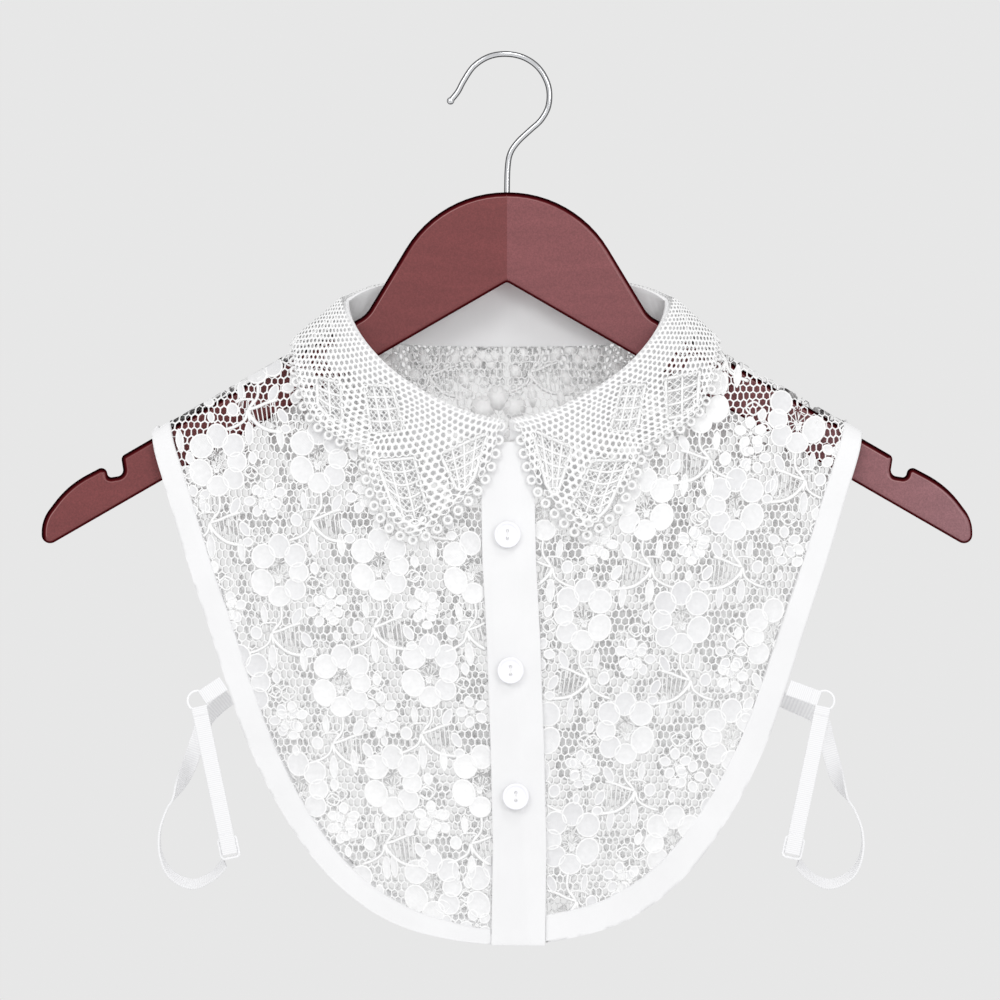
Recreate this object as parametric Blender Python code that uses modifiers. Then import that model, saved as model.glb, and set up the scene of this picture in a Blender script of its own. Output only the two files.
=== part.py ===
"""Detachable lace collar on a wooden hanger, as closed solids at real size.

The front of the collar faces -Y and +Z is up. "Left" is the side at -X, on the left of a front view.
The origin is the inside top of the hanger's hook, where a rail carries it.
Sizes below are in millimetres. MM turns them to metres where a mesh is made.
"""

import math
from collections import namedtuple

import bmesh
import bpy
from mathutils import Matrix, Vector

MM = 0.001
SEAM = 0.3
TIP_SEAM = 0.5
EDGE_STEPS = 30

# Wooden hanger
WOOD_THICKNESS = 12.0
WOOD_EDGE_ROUND = 2.5
ARM_TOP_X = 71.0
ARM_TOP_Z = -125.5
ARM_SLOPE = 0.578
HOOK_WIRE = 2.8
HOOK_HOLE = 3.4
HOOK_HOLE_BOTTOM = -85.4
HOOK_HOLE_TOP = -50.0
HOOK_BALL = 3.6
KEEP_BOX = 260.0

# Cloth walls
LACE_WALL = 1.0
BAND_WALL = 1.3
BAND_PROUD = 0.3
BAND_TURN = 0.08
PLACKET_WALL = 1.5
PLACKET_PROUD = 2.0
UNDER_PROUD = 0.2
STAND_WALL = 1.6
FALL_WALL = 1.2
FALL_LIFT = 2.6
FALL_OVER = 1.6
FALL_FRONT_LIFT = 2.2

# How the body hangs over the hanger's arms
ARM_WRAP = 9.2
CLOTH_RISE = 3.5
WRAP_DROP = 10.6
FRONT_SWELL = 40.0
BACK_SWELL = 12.0
WRAP_FROM = 0.78
WRAP_SHARE = 0.06
SWELL_REACH = 190.0
SWELL_DROP = 50.0
HEM_EASE = 0.35
RIPPLE = 1.8
RIPPLE_WIDTH = 52.0

# Body outline and neck
NECK_X = 84.0
NECK_FRONT_Z = -184.0
NECK_BACK_Z = -139.0
HEM_Z = -424.0
NECK_FULLNESS = 1.11
BACK_NARROWER = 1.0

# Collar fold
FOLD_X = 77.0
FOLD_SIDE_Z = -116.0
FOLD_FRONT_Z = -174.0
FOLD_BACK_Z = -107.0
FOLD_FRONT_Y = -44.0
FOLD_BACK_Y = 16.0
FOLD_FULLNESS = 1.25
SHOULDER_TURN = 0.6
FALL_START = 1.8
FALL_FADE = 3.0
FALL_CROWN = 1.5
PICOT_REACH = 2.4
COLLAR_END = 0.012

# Front opening
PLACKET_WIDTH = 25.6
UNDER_WIDTH = 24.0
PLACKET_END_Z = -424.5
BUTTON_DIAMETER = 12.5
BUTTON_THICKNESS = 2.6
BUTTON_ROUND = 0.5
BUTTON_HOLE = 1.5
BUTTON_HOLE_PITCH = 3.7

# Side straps
ELASTIC_WIDTH = 7.5
ELASTIC_WALL = 1.1
TAB_WALL = 1.6
DOUBLED_WALL = 2.2
RING_DIAMETER = 10.6
RING_WIRE = 1.1
SLIDER_WIDTH = 10.0
SLIDER_HEIGHT = 11.4
SLIDER_WIRE = 1.5
SLIDER_WALL = 1.4
SLIDER_ROUND = 2.0
WINDOW_ROUND = 0.8

Edge = namedtuple("Edge", "half_width z")
OUTLINE = (
    Edge(170.0, -180.4),
    Edge(168.0, -191.0),
    Edge(161.6, -212.0),
    Edge(152.5, -242.5),
    Edge(142.4, -273.0),
    Edge(133.2, -302.0),
    Edge(121.8, -333.0),
    Edge(105.0, -365.0),
    Edge(83.5, -393.0),
    Edge(57.0, -412.6),
    Edge(28.0, -421.4),
    Edge(0.0, -424.0),
)

Lean = namedtuple("Lean", "z x")
CENTRE_LINE = (
    Lean(-184.0, 0.0),
    Lean(-240.0, 1.0),
    Lean(-280.0, 3.1),
    Lean(-332.0, 5.0),
    Lean(-378.0, 6.0),
    Lean(-425.0, 5.3),
)

Width = namedtuple("Width", "share width")
BAND_WIDTHS = {
    "left": (Width(0.0, 10.0), Width(0.5, 11.5), Width(0.85, 10.0), Width(1.0, 7.0)),
    "right": (Width(0.0, 10.0), Width(0.5, 12.0), Width(0.85, 13.5), Width(1.0, 13.0)),
    "back": (Width(0.0, 10.0), Width(0.5, 11.0), Width(1.0, 11.0)),
}

Corner = namedtuple("Corner", "x z radius")
HANGER_HALF = (
    Corner(222.0, -234.9, 4.5),
    Corner(221.3, -219.5, 10.0),
    Corner(208.0, -204.0, 20.0),
    Corner(192.2, -195.4, 2.7),
    Corner(190.6, -201.6, 1.8),
    Corner(183.2, -197.6, 2.4),
    Corner(182.3, -189.8, 3.0),
    Corner(67.4, -123.4, 14.0),
    Corner(32.1, -64.8, 56.0),
)
HANGER_APEX = Corner(0.0, -107.6, 2.0)

WirePoint = namedtuple("WirePoint", "x z")
HOOK_LINE = (
    WirePoint(-27.0, -21.0),
    WirePoint(-23.5, -16.6),
    WirePoint(-20.6, -11.2),
    WirePoint(-15.8, -4.4),
    WirePoint(-8.5, 0.2),
    WirePoint(0.0, 1.4),
    WirePoint(8.5, -0.5),
    WirePoint(15.5, -5.7),
    WirePoint(19.8, -14.0),
    WirePoint(19.9, -23.0),
    WirePoint(16.4, -30.0),
    WirePoint(11.0, -35.1),
    WirePoint(5.4, -40.4),
    WirePoint(1.8, -45.6),
    WirePoint(0.4, -52.0),
    WirePoint(0.0, -64.0),
    WirePoint(0.0, -84.6),
)

# The collar's outer edge from the centre front to the shoulder, through the middles of its edge rings.
# Tips and notches between the lobes are rows of their own.
Rim = namedtuple("Rim", "x z")
FRONT_RIM = {
    "left": (
        Rim(-3.1, -177.0),
        Rim(-5.3, -189.0),
        Rim(-10.0, -201.4),
        Rim(-17.0, -211.0),
        Rim(-27.3, -220.6),
        Rim(-36.0, -227.6),
        Rim(-45.5, -231.1),
        Rim(-57.4, -224.4),
        Rim(-64.1, -212.9),
        Rim(-68.2, -197.0),
        Rim(-69.4, -187.6),
        Rim(-79.0, -184.4),
        Rim(-90.5, -177.0),
        Rim(-97.6, -166.0),
        Rim(-101.3, -152.0),
    ),
    "right": (
        Rim(5.7, -177.0),
        Rim(7.7, -189.0),
        Rim(11.9, -203.0),
        Rim(18.7, -213.9),
        Rim(26.8, -222.5),
        Rim(31.6, -226.8),
        Rim(37.8, -228.9),
        Rim(48.8, -221.1),
        Rim(56.5, -211.0),
        Rim(62.7, -197.1),
        Rim(66.0, -187.4),
        Rim(76.0, -181.4),
        Rim(88.0, -174.4),
        Rim(96.0, -163.0),
        Rim(99.8, -150.0),
    ),
}
RIM_TIP_ROW = 6
RIM_STEPS = 6

BackRim = namedtuple("BackRim", "x z")
BACK_RIM = (
    BackRim(98.0, -147.5),
    BackRim(91.0, -150.0),
    BackRim(75.0, -161.0),
    BackRim(58.0, -151.5),
    BackRim(38.0, -162.5),
    BackRim(19.5, -152.5),
    BackRim(0.0, -163.5),
)

ButtonPlace = namedtuple("ButtonPlace", "name x z")
BUTTONS = (
    ButtonPlace("button_top", 0.2, -228.5),
    ButtonPlace("button_middle", 1.7, -293.2),
    ButtonPlace("button_bottom", 4.2, -353.3),
)

# Turn is how far the tape is rolled about its own line from facing the front, in degrees.
Tape = namedtuple("Tape", "x y z turn")
LOOP_LINES = {
    "left": (
        Tape(-134.6, -20.0, -385.2, 55.0),
        Tape(-140.6, -16.5, -391.6, 60.0),
        Tape(-150.4, -13.0, -395.6, 52.0),
        Tape(-160.4, -10.5, -391.0, 62.0),
        Tape(-165.6, -8.5, -381.0, 82.0),
        Tape(-166.0, -7.0, -370.5, 88.0),
        Tape(-163.2, -5.0, -361.0, 90.0),
        Tape(-160.0, -3.0, -355.2, 88.0),
        Tape(-156.0, -1.0, -347.5, 45.0),
        Tape(-152.0, 1.5, -338.5, 12.0),
        Tape(-147.8, 4.5, -326.5, 0.0),
        Tape(-143.6, 7.5, -316.0, 0.0),
    ),
    "right": (
        Tape(138.8, -20.0, -385.2, -55.0),
        Tape(144.6, -16.5, -391.6, -60.0),
        Tape(154.1, -13.0, -395.6, -52.0),
        Tape(164.4, -10.5, -391.0, -62.0),
        Tape(169.6, -8.5, -381.0, -82.0),
        Tape(169.8, -7.0, -370.5, -88.0),
        Tape(166.6, -5.0, -361.0, -90.0),
        Tape(163.2, -3.0, -355.2, -88.0),
        Tape(159.2, -1.0, -347.5, -45.0),
        Tape(156.2, 1.5, -338.5, -12.0),
        Tape(152.8, 4.5, -326.5, 0.0),
        Tape(149.0, 7.5, -316.0, 0.0),
    ),
}
# The two clearances are from the binding's edge to the middle of the tape's end, which lies at a slant.
StrapSide = namedtuple("StrapSide", "sign tab_z tab_clear ring_x ring_z slider_x slider_z back_z back_clear")
STRAP_SIDES = {
    "left": StrapSide(-1.0, -299.5, 1.2, -147.7, -307.8, -132.8, -377.9, -306.0, 0.85),
    "right": StrapSide(1.0, -301.5, 0.9, 151.5, -307.8, 136.7, -377.9, -307.5, 0.5),
}

Finish = namedtuple("Finish", "colour roughness metallic")
FINISHES = {
    "floral lace": Finish((0.86, 0.86, 0.87), 0.85, 0.0),
    "guipure lace": Finish((0.88, 0.88, 0.88), 0.8, 0.0),
    "white cotton": Finish((0.9, 0.9, 0.9), 0.8, 0.0),
    "white elastic": Finish((0.87, 0.87, 0.87), 0.7, 0.0),
    "white resin": Finish((0.88, 0.88, 0.88), 0.3, 0.0),
    "white coated metal": Finish((0.85, 0.85, 0.85), 0.35, 0.0),
    "lacquered mahogany": Finish((0.17, 0.03, 0.035), 0.35, 0.0),
    "chromed wire": Finish((0.75, 0.75, 0.76), 0.12, 1.0),
}


# Small helpers


def clamp(value, low=0.0, high=1.0):
    return max(low, min(high, value))


def ease(value):
    """Smooth step from 0 to 1."""
    value = clamp(value)
    return value * value * (3.0 - 2.0 * value)


def curve_through(points, steps=8):
    """Points of a smooth curve through the given vectors, as a Catmull-Rom spline."""
    points = [Vector(p) for p in points]
    ends = [points[0] * 2 - points[1]] + points + [points[-1] * 2 - points[-2]]
    line = []
    for before, start, end, after in zip(ends, ends[1:], ends[2:], ends[3:]):
        for step in range(steps):
            t = step / steps
            line.append(
                0.5
                * (
                    2 * start
                    + (end - before) * t
                    + (2 * before - 5 * start + 4 * end - after) * t * t
                    + (3 * start - before - 3 * end + after) * t * t * t
                )
            )
    line.append(points[-1])
    return line


def line_length(line):
    return sum((b - a).length for a, b in zip(line, line[1:]))


def point_along(line, share):
    """The point at a share of a line's length."""
    lengths = [(b - a).length for a, b in zip(line, line[1:])]
    wanted = clamp(share) * sum(lengths)
    for start, end, length in zip(line, line[1:], lengths):
        if wanted <= length:
            return start.lerp(end, wanted / length if length else 0.0)
        wanted -= length
    return line[-1].copy()


def read_rows(rows, key, value, at):
    """Straight-line reading of a short table whose key column rises or falls."""
    rows = sorted(rows, key=lambda row: getattr(row, key))
    if at <= getattr(rows[0], key):
        return getattr(rows[0], value)
    for low, high in zip(rows, rows[1:]):
        if at <= getattr(high, key):
            share = (at - getattr(low, key)) / (getattr(high, key) - getattr(low, key))
            return getattr(low, value) * (1 - share) + getattr(high, value) * share
    return getattr(rows[-1], value)


def four_sided(bottom, top, start, end, fade=1.0):
    """A patch between four edges, each a function of 0 to 1 that gives a vector.

    The start and end edges' own curves fade out towards the middle, faster for a larger fade.
    """

    def place(u, v):
        start_bow = start(v) - bottom(0.0).lerp(top(0.0), v)
        end_bow = end(v) - bottom(1.0).lerp(top(1.0), v)
        return bottom(u).lerp(top(u), v) + start_bow * (1 - u) ** fade + end_bow * u**fade

    return place


# The garment's form


def centre_x(z):
    """How far the front opening leans to the right at a height."""
    return read_rows(CENTRE_LINE, "z", "x", z)


def shoulder_z(x, lift=0.0):
    """Height of the cloth over the hanger's arm, raised by a lift square to the arm."""
    rise = CLOTH_RISE + lift * math.hypot(1.0, ARM_SLOPE)
    return ARM_TOP_Z + rise - ARM_SLOPE * (abs(x) - ARM_TOP_X)


def depth(x, z, swell, lift=0.0):
    """Distance of the cloth's outer face from the hanger's middle plane."""
    drop = shoulder_z(x, lift) - z
    if drop <= 0:
        return 0.0
    over = min(drop / (WRAP_DROP + lift), 1.0)
    wrap = math.sqrt(1.0 - (1.0 - over) ** 2)
    across = max(0.0, 1.0 - (x / SWELL_REACH) ** 2)
    down = 1.0 - math.exp(-drop / SWELL_DROP)
    lower = 1.0 - HEM_EASE * ease((NECK_FRONT_Z - z) / (NECK_FRONT_Z - HEM_Z))
    ripple = RIPPLE * ease(drop / 200.0) * math.sin(2 * math.pi * x / RIPPLE_WIDTH + math.sin(z / 60.0))
    return wrap * (ARM_WRAP + lift + swell * across * down * lower + ripple * across)


def on_front(x, z, proud=0.0):
    """A point on the front's outer face, moved out."""
    return Vector((x, -depth(x, z, FRONT_SWELL) - proud, z))


def on_back(x, z, proud=0.0):
    """A point on the back's outer face, moved out."""
    return Vector((x, depth(x, z, BACK_SWELL) + proud, z))


def outline_half(sign, until_x, narrower=0.0):
    """Flat outline from a shoulder tip down to where it meets a given x near the centre."""
    rows = []
    for row in OUTLINE:
        half_width = row.half_width - narrower * min(row.half_width / 100.0, 1.0)
        rows.append((sign * half_width, 0.0, row.z))
    rows.append((-sign * 30.0, 0.0, OUTLINE[-2].z))
    line = curve_through(rows)
    kept = [line[0]]
    for start, end in zip(line, line[1:]):
        if sign * end.x < sign * until_x:
            share = (until_x - start.x) / (end.x - start.x)
            kept.append(start.lerp(end, share))
            break
        kept.append(end)
    return kept


def edge_normal(line, share, sign):
    """Direction across the binding, into the cloth, on an outline that runs from shoulder to hem.

    It lies along the shoulder line at the shoulder, upright at the hem and square to the edge between.
    """
    step = 0.004
    along = point_along(line, share + step) - point_along(line, share - step)
    along.normalize()
    square = Vector((-along.z, 0.0, along.x)) * (-sign)
    shoulder = Vector((-sign, 0.0, ARM_SLOPE)).normalized()
    upright = Vector((0.0, 0.0, 1.0))
    inward = shoulder.lerp(square, ease(share / BAND_TURN)).lerp(upright, ease(1 - (1 - share) / BAND_TURN))
    return inward.normalized()


def band_width(side, share):
    return read_rows(BAND_WIDTHS[side], "share", "width", share)


def neckline_front(turn):
    """Neck seam at an angle from the shoulder (0) to the centre front (90 degrees)."""
    top = shoulder_z(NECK_X)
    x = NECK_X * math.cos(turn) ** NECK_FULLNESS
    z = top + (NECK_FRONT_Z - top) * math.sin(turn) ** NECK_FULLNESS
    return Vector((x, 0.0, z))


def neckline_back(share):
    """Neck seam of the back at a share of the half width from the centre (0) to the shoulder (1)."""
    top = shoulder_z(NECK_X)
    return Vector((NECK_X * share, 0.0, NECK_BACK_Z + (top - NECK_BACK_Z) * share**4))


def seam_loop(sign, turn):
    """The neck seam round one side: turn runs from the centre front (0) to the centre back (1)."""
    if turn < SHOULDER_TURN:
        flat = neckline_front(math.radians(90.0) * (1 - turn / SHOULDER_TURN))
        return Vector((sign * flat.x, -depth(flat.x, flat.z, FRONT_SWELL), flat.z))
    flat = neckline_back(math.cos(math.radians(90.0) * (turn - SHOULDER_TURN) / (1 - SHOULDER_TURN)))
    return Vector((sign * flat.x, depth(flat.x, flat.z, BACK_SWELL), flat.z))


def fold_loop(sign, turn):
    """The collar's fold round one side, from the centre front (0) to the centre back (1)."""
    if turn < SHOULDER_TURN:
        angle = math.radians(90.0) * (1 - turn / SHOULDER_TURN)
        x = FOLD_X * math.cos(angle) ** FOLD_FULLNESS
        z = FOLD_SIDE_Z + (FOLD_FRONT_Z - FOLD_SIDE_Z) * math.sin(angle) ** FOLD_FULLNESS
        y = FOLD_FRONT_Y * math.sqrt(max(0.0, 1 - (x / FOLD_X) ** 2))
        return Vector((sign * x, y, z))
    x = FOLD_X * math.cos(math.radians(90.0) * (turn - SHOULDER_TURN) / (1 - SHOULDER_TURN))
    z = FOLD_BACK_Z + (FOLD_SIDE_Z - FOLD_BACK_Z) * (x / FOLD_X) ** 6
    y = FOLD_BACK_Y * math.sqrt(max(0.0, 1 - (x / FOLD_X) ** 2))
    return Vector((sign * x, y, z))


# Meshes


def clear_scene():
    for item in list(bpy.data.objects):
        bpy.data.objects.remove(item, do_unlink=True)


def new_collection(name):
    group = bpy.data.collections.new(name)
    bpy.context.scene.collection.children.link(group)
    return group


def finish_material(name):
    """One Principled material for a named finish."""
    finish = FINISHES[name]
    material = bpy.data.materials.get(name) or bpy.data.materials.new(name)
    material.use_nodes = True
    shader = material.node_tree.nodes["Principled BSDF"]
    shader.inputs["Base Color"].default_value = (*finish.colour, 1.0)
    shader.inputs["Roughness"].default_value = finish.roughness
    shader.inputs["Metallic"].default_value = finish.metallic
    return material


def add_object(name, mesh, group, finish):
    item = bpy.data.objects.new(name, mesh)
    group.objects.link(item)
    mesh.materials.clear()
    mesh.materials.append(finish_material(finish))
    return item


def add_solidify(item, thickness, offset=-1.0):
    wall = item.modifiers.new("wall", "SOLIDIFY")
    wall.thickness = thickness * MM
    wall.offset = offset
    wall.use_even_offset = True
    wall.use_quality_normals = True


def cloth(name, group, finish, place, across, down, thickness, offset=-1.0):
    """A cloth wall: a grid laid on the surface that place(u, v) gives in millimetres, then thickened."""
    mesh_data = bmesh.new()
    bmesh.ops.create_grid(mesh_data, x_segments=across, y_segments=down, size=0.5)
    for vertex in mesh_data.verts:
        vertex.co = place(vertex.co.x + 0.5, vertex.co.y + 0.5) * MM
    bmesh.ops.recalc_face_normals(mesh_data, faces=mesh_data.faces)
    outward = 0.0
    for face in mesh_data.faces:
        middle = face.calc_center_median()
        outward += face.calc_area() * face.normal.dot(Vector((middle.x * 0.2, middle.y, 0.0)))
    if outward < 0:
        bmesh.ops.reverse_faces(mesh_data, faces=mesh_data.faces)
    mesh = bpy.data.meshes.new(name)
    mesh_data.to_mesh(mesh)
    mesh_data.free()
    mesh.shade_smooth()
    item = add_object(name, mesh, group, finish)
    add_solidify(item, thickness, offset)
    return item


def curve_to_mesh(curve_item, name, group, finish):
    """Turns a curve object to a mesh with its caps welded on, at the same place."""
    graph = bpy.context.evaluated_depsgraph_get()
    mesh = bpy.data.meshes.new_from_object(curve_item.evaluated_get(graph))
    mesh_data = bmesh.new()
    mesh_data.from_mesh(mesh)
    bmesh.ops.remove_doubles(mesh_data, verts=mesh_data.verts, dist=0.00001)
    bmesh.ops.recalc_face_normals(mesh_data, faces=mesh_data.faces)
    mesh_data.to_mesh(mesh)
    mesh_data.free()
    item = add_object(name, mesh, group, finish)
    item.matrix_world = curve_item.matrix_world.copy()
    bpy.data.objects.remove(curve_item, do_unlink=True)
    item.name = name
    return item


def flat_piece(name, group, finish, loops, thickness, edge_round=0.0):
    """A flat piece in the front plane, cut to closed outlines given as (x, z) pairs; inner ones are holes."""
    curve = bpy.data.curves.new(name, "CURVE")
    curve.dimensions = "2D"
    curve.fill_mode = "BOTH"
    curve.extrude = (thickness / 2 - edge_round) * MM
    curve.bevel_depth = edge_round * MM
    curve.bevel_resolution = 1
    curve.offset = -edge_round * MM
    for loop in loops:
        spline = curve.splines.new("POLY")
        spline.points.add(len(loop) - 1)
        for point, (x, z) in zip(spline.points, loop):
            point.co = (x * MM, z * MM, 0.0, 1.0)
        spline.use_cyclic_u = True
    item = bpy.data.objects.new(name, curve)
    group.objects.link(item)
    item.rotation_euler.x = math.radians(90.0)
    bpy.context.view_layer.update()
    return curve_to_mesh(item, name, group, finish)


def tube(name, group, finish, points, diameter):
    """A round wire along points in millimetres."""
    curve = bpy.data.curves.new(name, "CURVE")
    curve.dimensions = "3D"
    curve.bevel_depth = diameter / 2 * MM
    curve.bevel_resolution = 2
    curve.use_fill_caps = True
    spline = curve.splines.new("POLY")
    spline.points.add(len(points) - 1)
    for point, place in zip(spline.points, points):
        point.co = (*(place * MM), 1.0)
    item = bpy.data.objects.new(name, curve)
    group.objects.link(item)
    bpy.context.view_layer.update()
    return curve_to_mesh(item, name, group, finish)


def add_boolean(item, cutter, operation):
    cut = item.modifiers.new("cut", "BOOLEAN")
    cut.operation = operation
    cut.solver = "EXACT"
    cut.object = cutter


def hidden_cutter(name, mesh_data, group):
    """A cutting tool from bmesh data, left out of the model."""
    mesh = bpy.data.meshes.new(name)
    mesh_data.to_mesh(mesh)
    mesh_data.free()
    item = bpy.data.objects.new(name, mesh)
    group.objects.link(item)
    item.hide_render = True
    item.display_type = "WIRE"
    return item


def rod_data(centre, axis, radius, length, segments=16):
    """Bmesh data of a rod in millimetres along "Y" or "Z"."""
    mesh_data = bmesh.new()
    turn = Matrix.Rotation(math.radians(90.0), 4, "X") if axis == "Y" else Matrix.Identity(4)
    bmesh.ops.create_cone(
        mesh_data,
        cap_ends=True,
        segments=segments,
        radius1=radius * MM,
        radius2=radius * MM,
        depth=length * MM,
        matrix=Matrix.Translation(Vector(centre) * MM) @ turn,
    )
    return mesh_data


# Hanger


def rounded_loop(corners, steps=5):
    """A closed outline as (x, z) pairs with each corner rounded to its own radius."""
    points = []
    count = len(corners)
    for index, corner in enumerate(corners):
        here = Vector((corner.x, corner.z))
        before = corners[index - 1]
        after = corners[(index + 1) % count]
        back = (Vector((before.x, before.z)) - here).normalized()
        ahead = (Vector((after.x, after.z)) - here).normalized()
        half = back.angle(ahead) / 2
        inset = corner.radius / math.tan(half)
        middle = here + (back + ahead).normalized() * (corner.radius / math.sin(half))
        start = here + back * inset - middle
        end = here + ahead * inset - middle
        turn = start.angle_signed(end)
        for step in range(steps + 1):
            spoke = start.copy()
            spoke.rotate(Matrix.Rotation(-turn * step / steps, 2))
            points.append(tuple(middle + spoke))
    return points


def build_hanger(group, cutters):
    right = list(HANGER_HALF)
    left = [Corner(-corner.x, corner.z, corner.radius) for corner in reversed(right)]
    loop = rounded_loop([HANGER_APEX] + right + left)
    for side, sign in (("left", -1.0), ("right", 1.0)):
        half = flat_piece(
            f"hanger_{side}", group, "lacquered mahogany", [loop], WOOD_THICKNESS, WOOD_EDGE_ROUND
        )
        box = bmesh.new()
        bmesh.ops.create_cube(box, size=1.0)
        for vertex in box.verts:
            middle_x = sign * (SEAM + KEEP_BOX) / 2
            vertex.co = (Vector((middle_x, 0.0, -KEEP_BOX / 2)) + vertex.co * KEEP_BOX) * MM
        add_boolean(half, hidden_cutter(f"keep_{side}", box, cutters), "INTERSECT")
        length = HOOK_HOLE_TOP - HOOK_HOLE_BOTTOM
        drill = rod_data((0.0, 0.0, HOOK_HOLE_BOTTOM + length / 2), "Z", HOOK_HOLE / 2, length)
        add_boolean(half, hidden_cutter(f"drill_{side}", drill, cutters), "DIFFERENCE")
    wire_points = [(point.x, 0.0, point.z) for point in HOOK_LINE]
    hook = tube("hanger_hook", group, "chromed wire", curve_through(wire_points, 3), HOOK_WIRE)
    ball = bmesh.new()
    end = HOOK_LINE[0]
    bmesh.ops.create_uvsphere(
        ball,
        u_segments=12,
        v_segments=8,
        radius=HOOK_BALL / 2 * MM,
        matrix=Matrix.Translation(Vector((end.x, 0.0, end.z)) * MM),
    )
    add_boolean(hook, hidden_cutter("hook_ball", ball, cutters), "UNION")


# Body


def shoulder_steps(share):
    """Even steps to near the end, then ever shorter ones where the cloth turns over the arm."""
    if share <= WRAP_FROM:
        return share / WRAP_FROM * (1.0 - WRAP_SHARE)
    return 1.0 - WRAP_SHARE * ((1.0 - share) / (1.0 - WRAP_FROM)) ** 2


def front_half(side, sign, group):
    """One front of lace and its binding."""
    reach = PLACKET_WIDTH / 2 + SEAM
    until_x = centre_x(HEM_Z) + sign * reach
    outer = outline_half(sign, until_x)

    def band_inner(share, gap=0.0):
        across = edge_normal(outer, share, sign)
        return point_along(outer, share) + across * (band_width(side, share) + gap)

    def placket_edge(v):
        start = band_inner(1.0, SEAM)
        end_x = sign * reach
        z = start.z + (NECK_FRONT_Z + 1.1 - start.z) * v
        return Vector((centre_x(z) + end_x, 0.0, z))

    start_turn = math.acos((placket_edge(1.0).x * sign / NECK_X) ** (1 / NECK_FULLNESS))
    neck_line = [neckline_front(start_turn * (1 - step / 40)) for step in range(41)]
    shoulder_tip_x = abs(band_inner(0.0, SEAM).x)

    def neck_edge(u):
        point = point_along(neck_line, shoulder_steps(u))
        return Vector((sign * point.x, 0.0, point.z))

    def shoulder_edge(v):
        x = shoulder_tip_x + (NECK_X - shoulder_tip_x) * v
        return Vector((sign * x, 0.0, shoulder_z(x)))

    def hem_edge(u):
        return band_inner(1.0 - shoulder_steps(u), SEAM)

    flat = four_sided(hem_edge, neck_edge, placket_edge, shoulder_edge)

    def panel(u, v):
        point = flat(u, v)
        place = on_front(point.x, point.z)
        place.y = min(place.y, -SEAM)
        return place

    def band(u, v):
        share = 1.0 - shoulder_steps(u)
        across = edge_normal(outer, share, sign)
        point = point_along(outer, share) + across * (band_width(side, share) * v)
        if share < 0.0001:
            return Vector((point.x, -TIP_SEAM, shoulder_z(point.x)))
        return on_front(point.x, point.z, BAND_PROUD * ease(share / BAND_TURN))

    cloth(f"front_{side}", group, "floral lace", panel, EDGE_STEPS, 12, LACE_WALL)
    cloth(f"band_front_{side}", group, "white cotton", band, EDGE_STEPS, 2, BAND_WALL)


def build_back(group):
    """The back of lace in one piece, and its binding from shoulder to shoulder."""
    half = outline_half(1.0, 0.0, BACK_NARROWER)

    def edge_point(u, inset, gap=0.0):
        """u runs from the left shoulder tip (0) over the hem (0.5) to the right one (1)."""
        side = 2 * u - 1
        share = 1.0 - shoulder_steps(abs(side))
        across = edge_normal(half, share, 1.0)
        place = point_along(half, share) + across * (inset * band_width("back", share) + gap)
        return Vector((math.copysign(place.x, side), 0.0, place.z)), share

    tip = edge_point(1.0, 1.0, SEAM)[0]

    def hem(u):
        return edge_point(u, 1.0, SEAM)[0]

    def neck_edge(u):
        side = 2 * u - 1
        flat = neckline_back(shoulder_steps(abs(side)))
        return Vector((math.copysign(flat.x, side), 0.0, flat.z))

    def shoulder(sign):
        def edge(v):
            x = tip.x + (NECK_X - tip.x) * v
            return Vector((sign * x, 0.0, shoulder_z(x)))

        return edge

    flat = four_sided(hem, neck_edge, shoulder(-1.0), shoulder(1.0))

    def panel(u, v):
        point = flat(u, v)
        place = on_back(point.x, point.z)
        place.y = max(place.y, SEAM)
        return place

    def band(u, v):
        point, share = edge_point(u, v)
        if share < 0.0001:
            return Vector((point.x, TIP_SEAM, shoulder_z(point.x)))
        return on_back(point.x, point.z, BAND_PROUD * ease(share / BAND_TURN))

    cloth("back", group, "floral lace", panel, EDGE_STEPS * 2, 9, LACE_WALL)
    cloth("band_back", group, "white cotton", band, EDGE_STEPS * 2, 2, BAND_WALL)


def build_plackets(group):
    """The strip that carries the buttons and the one under it, both leaning with the opening."""
    top = NECK_FRONT_Z - SEAM

    def strip(width, end_z, proud):
        def place(u, v):
            z = top + (end_z - top) * (1 - v)
            x = centre_x(z) + (u - 0.5) * width
            return on_front(x, z, proud)

        return place

    upper = strip(PLACKET_WIDTH, PLACKET_END_Z, PLACKET_PROUD)
    under = strip(UNDER_WIDTH, HEM_Z, UNDER_PROUD)
    cloth("placket", group, "white cotton", upper, 2, 22, PLACKET_WALL)
    cloth("placket_under", group, "white cotton", under, 2, 22, PLACKET_WALL)


# Collar


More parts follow.
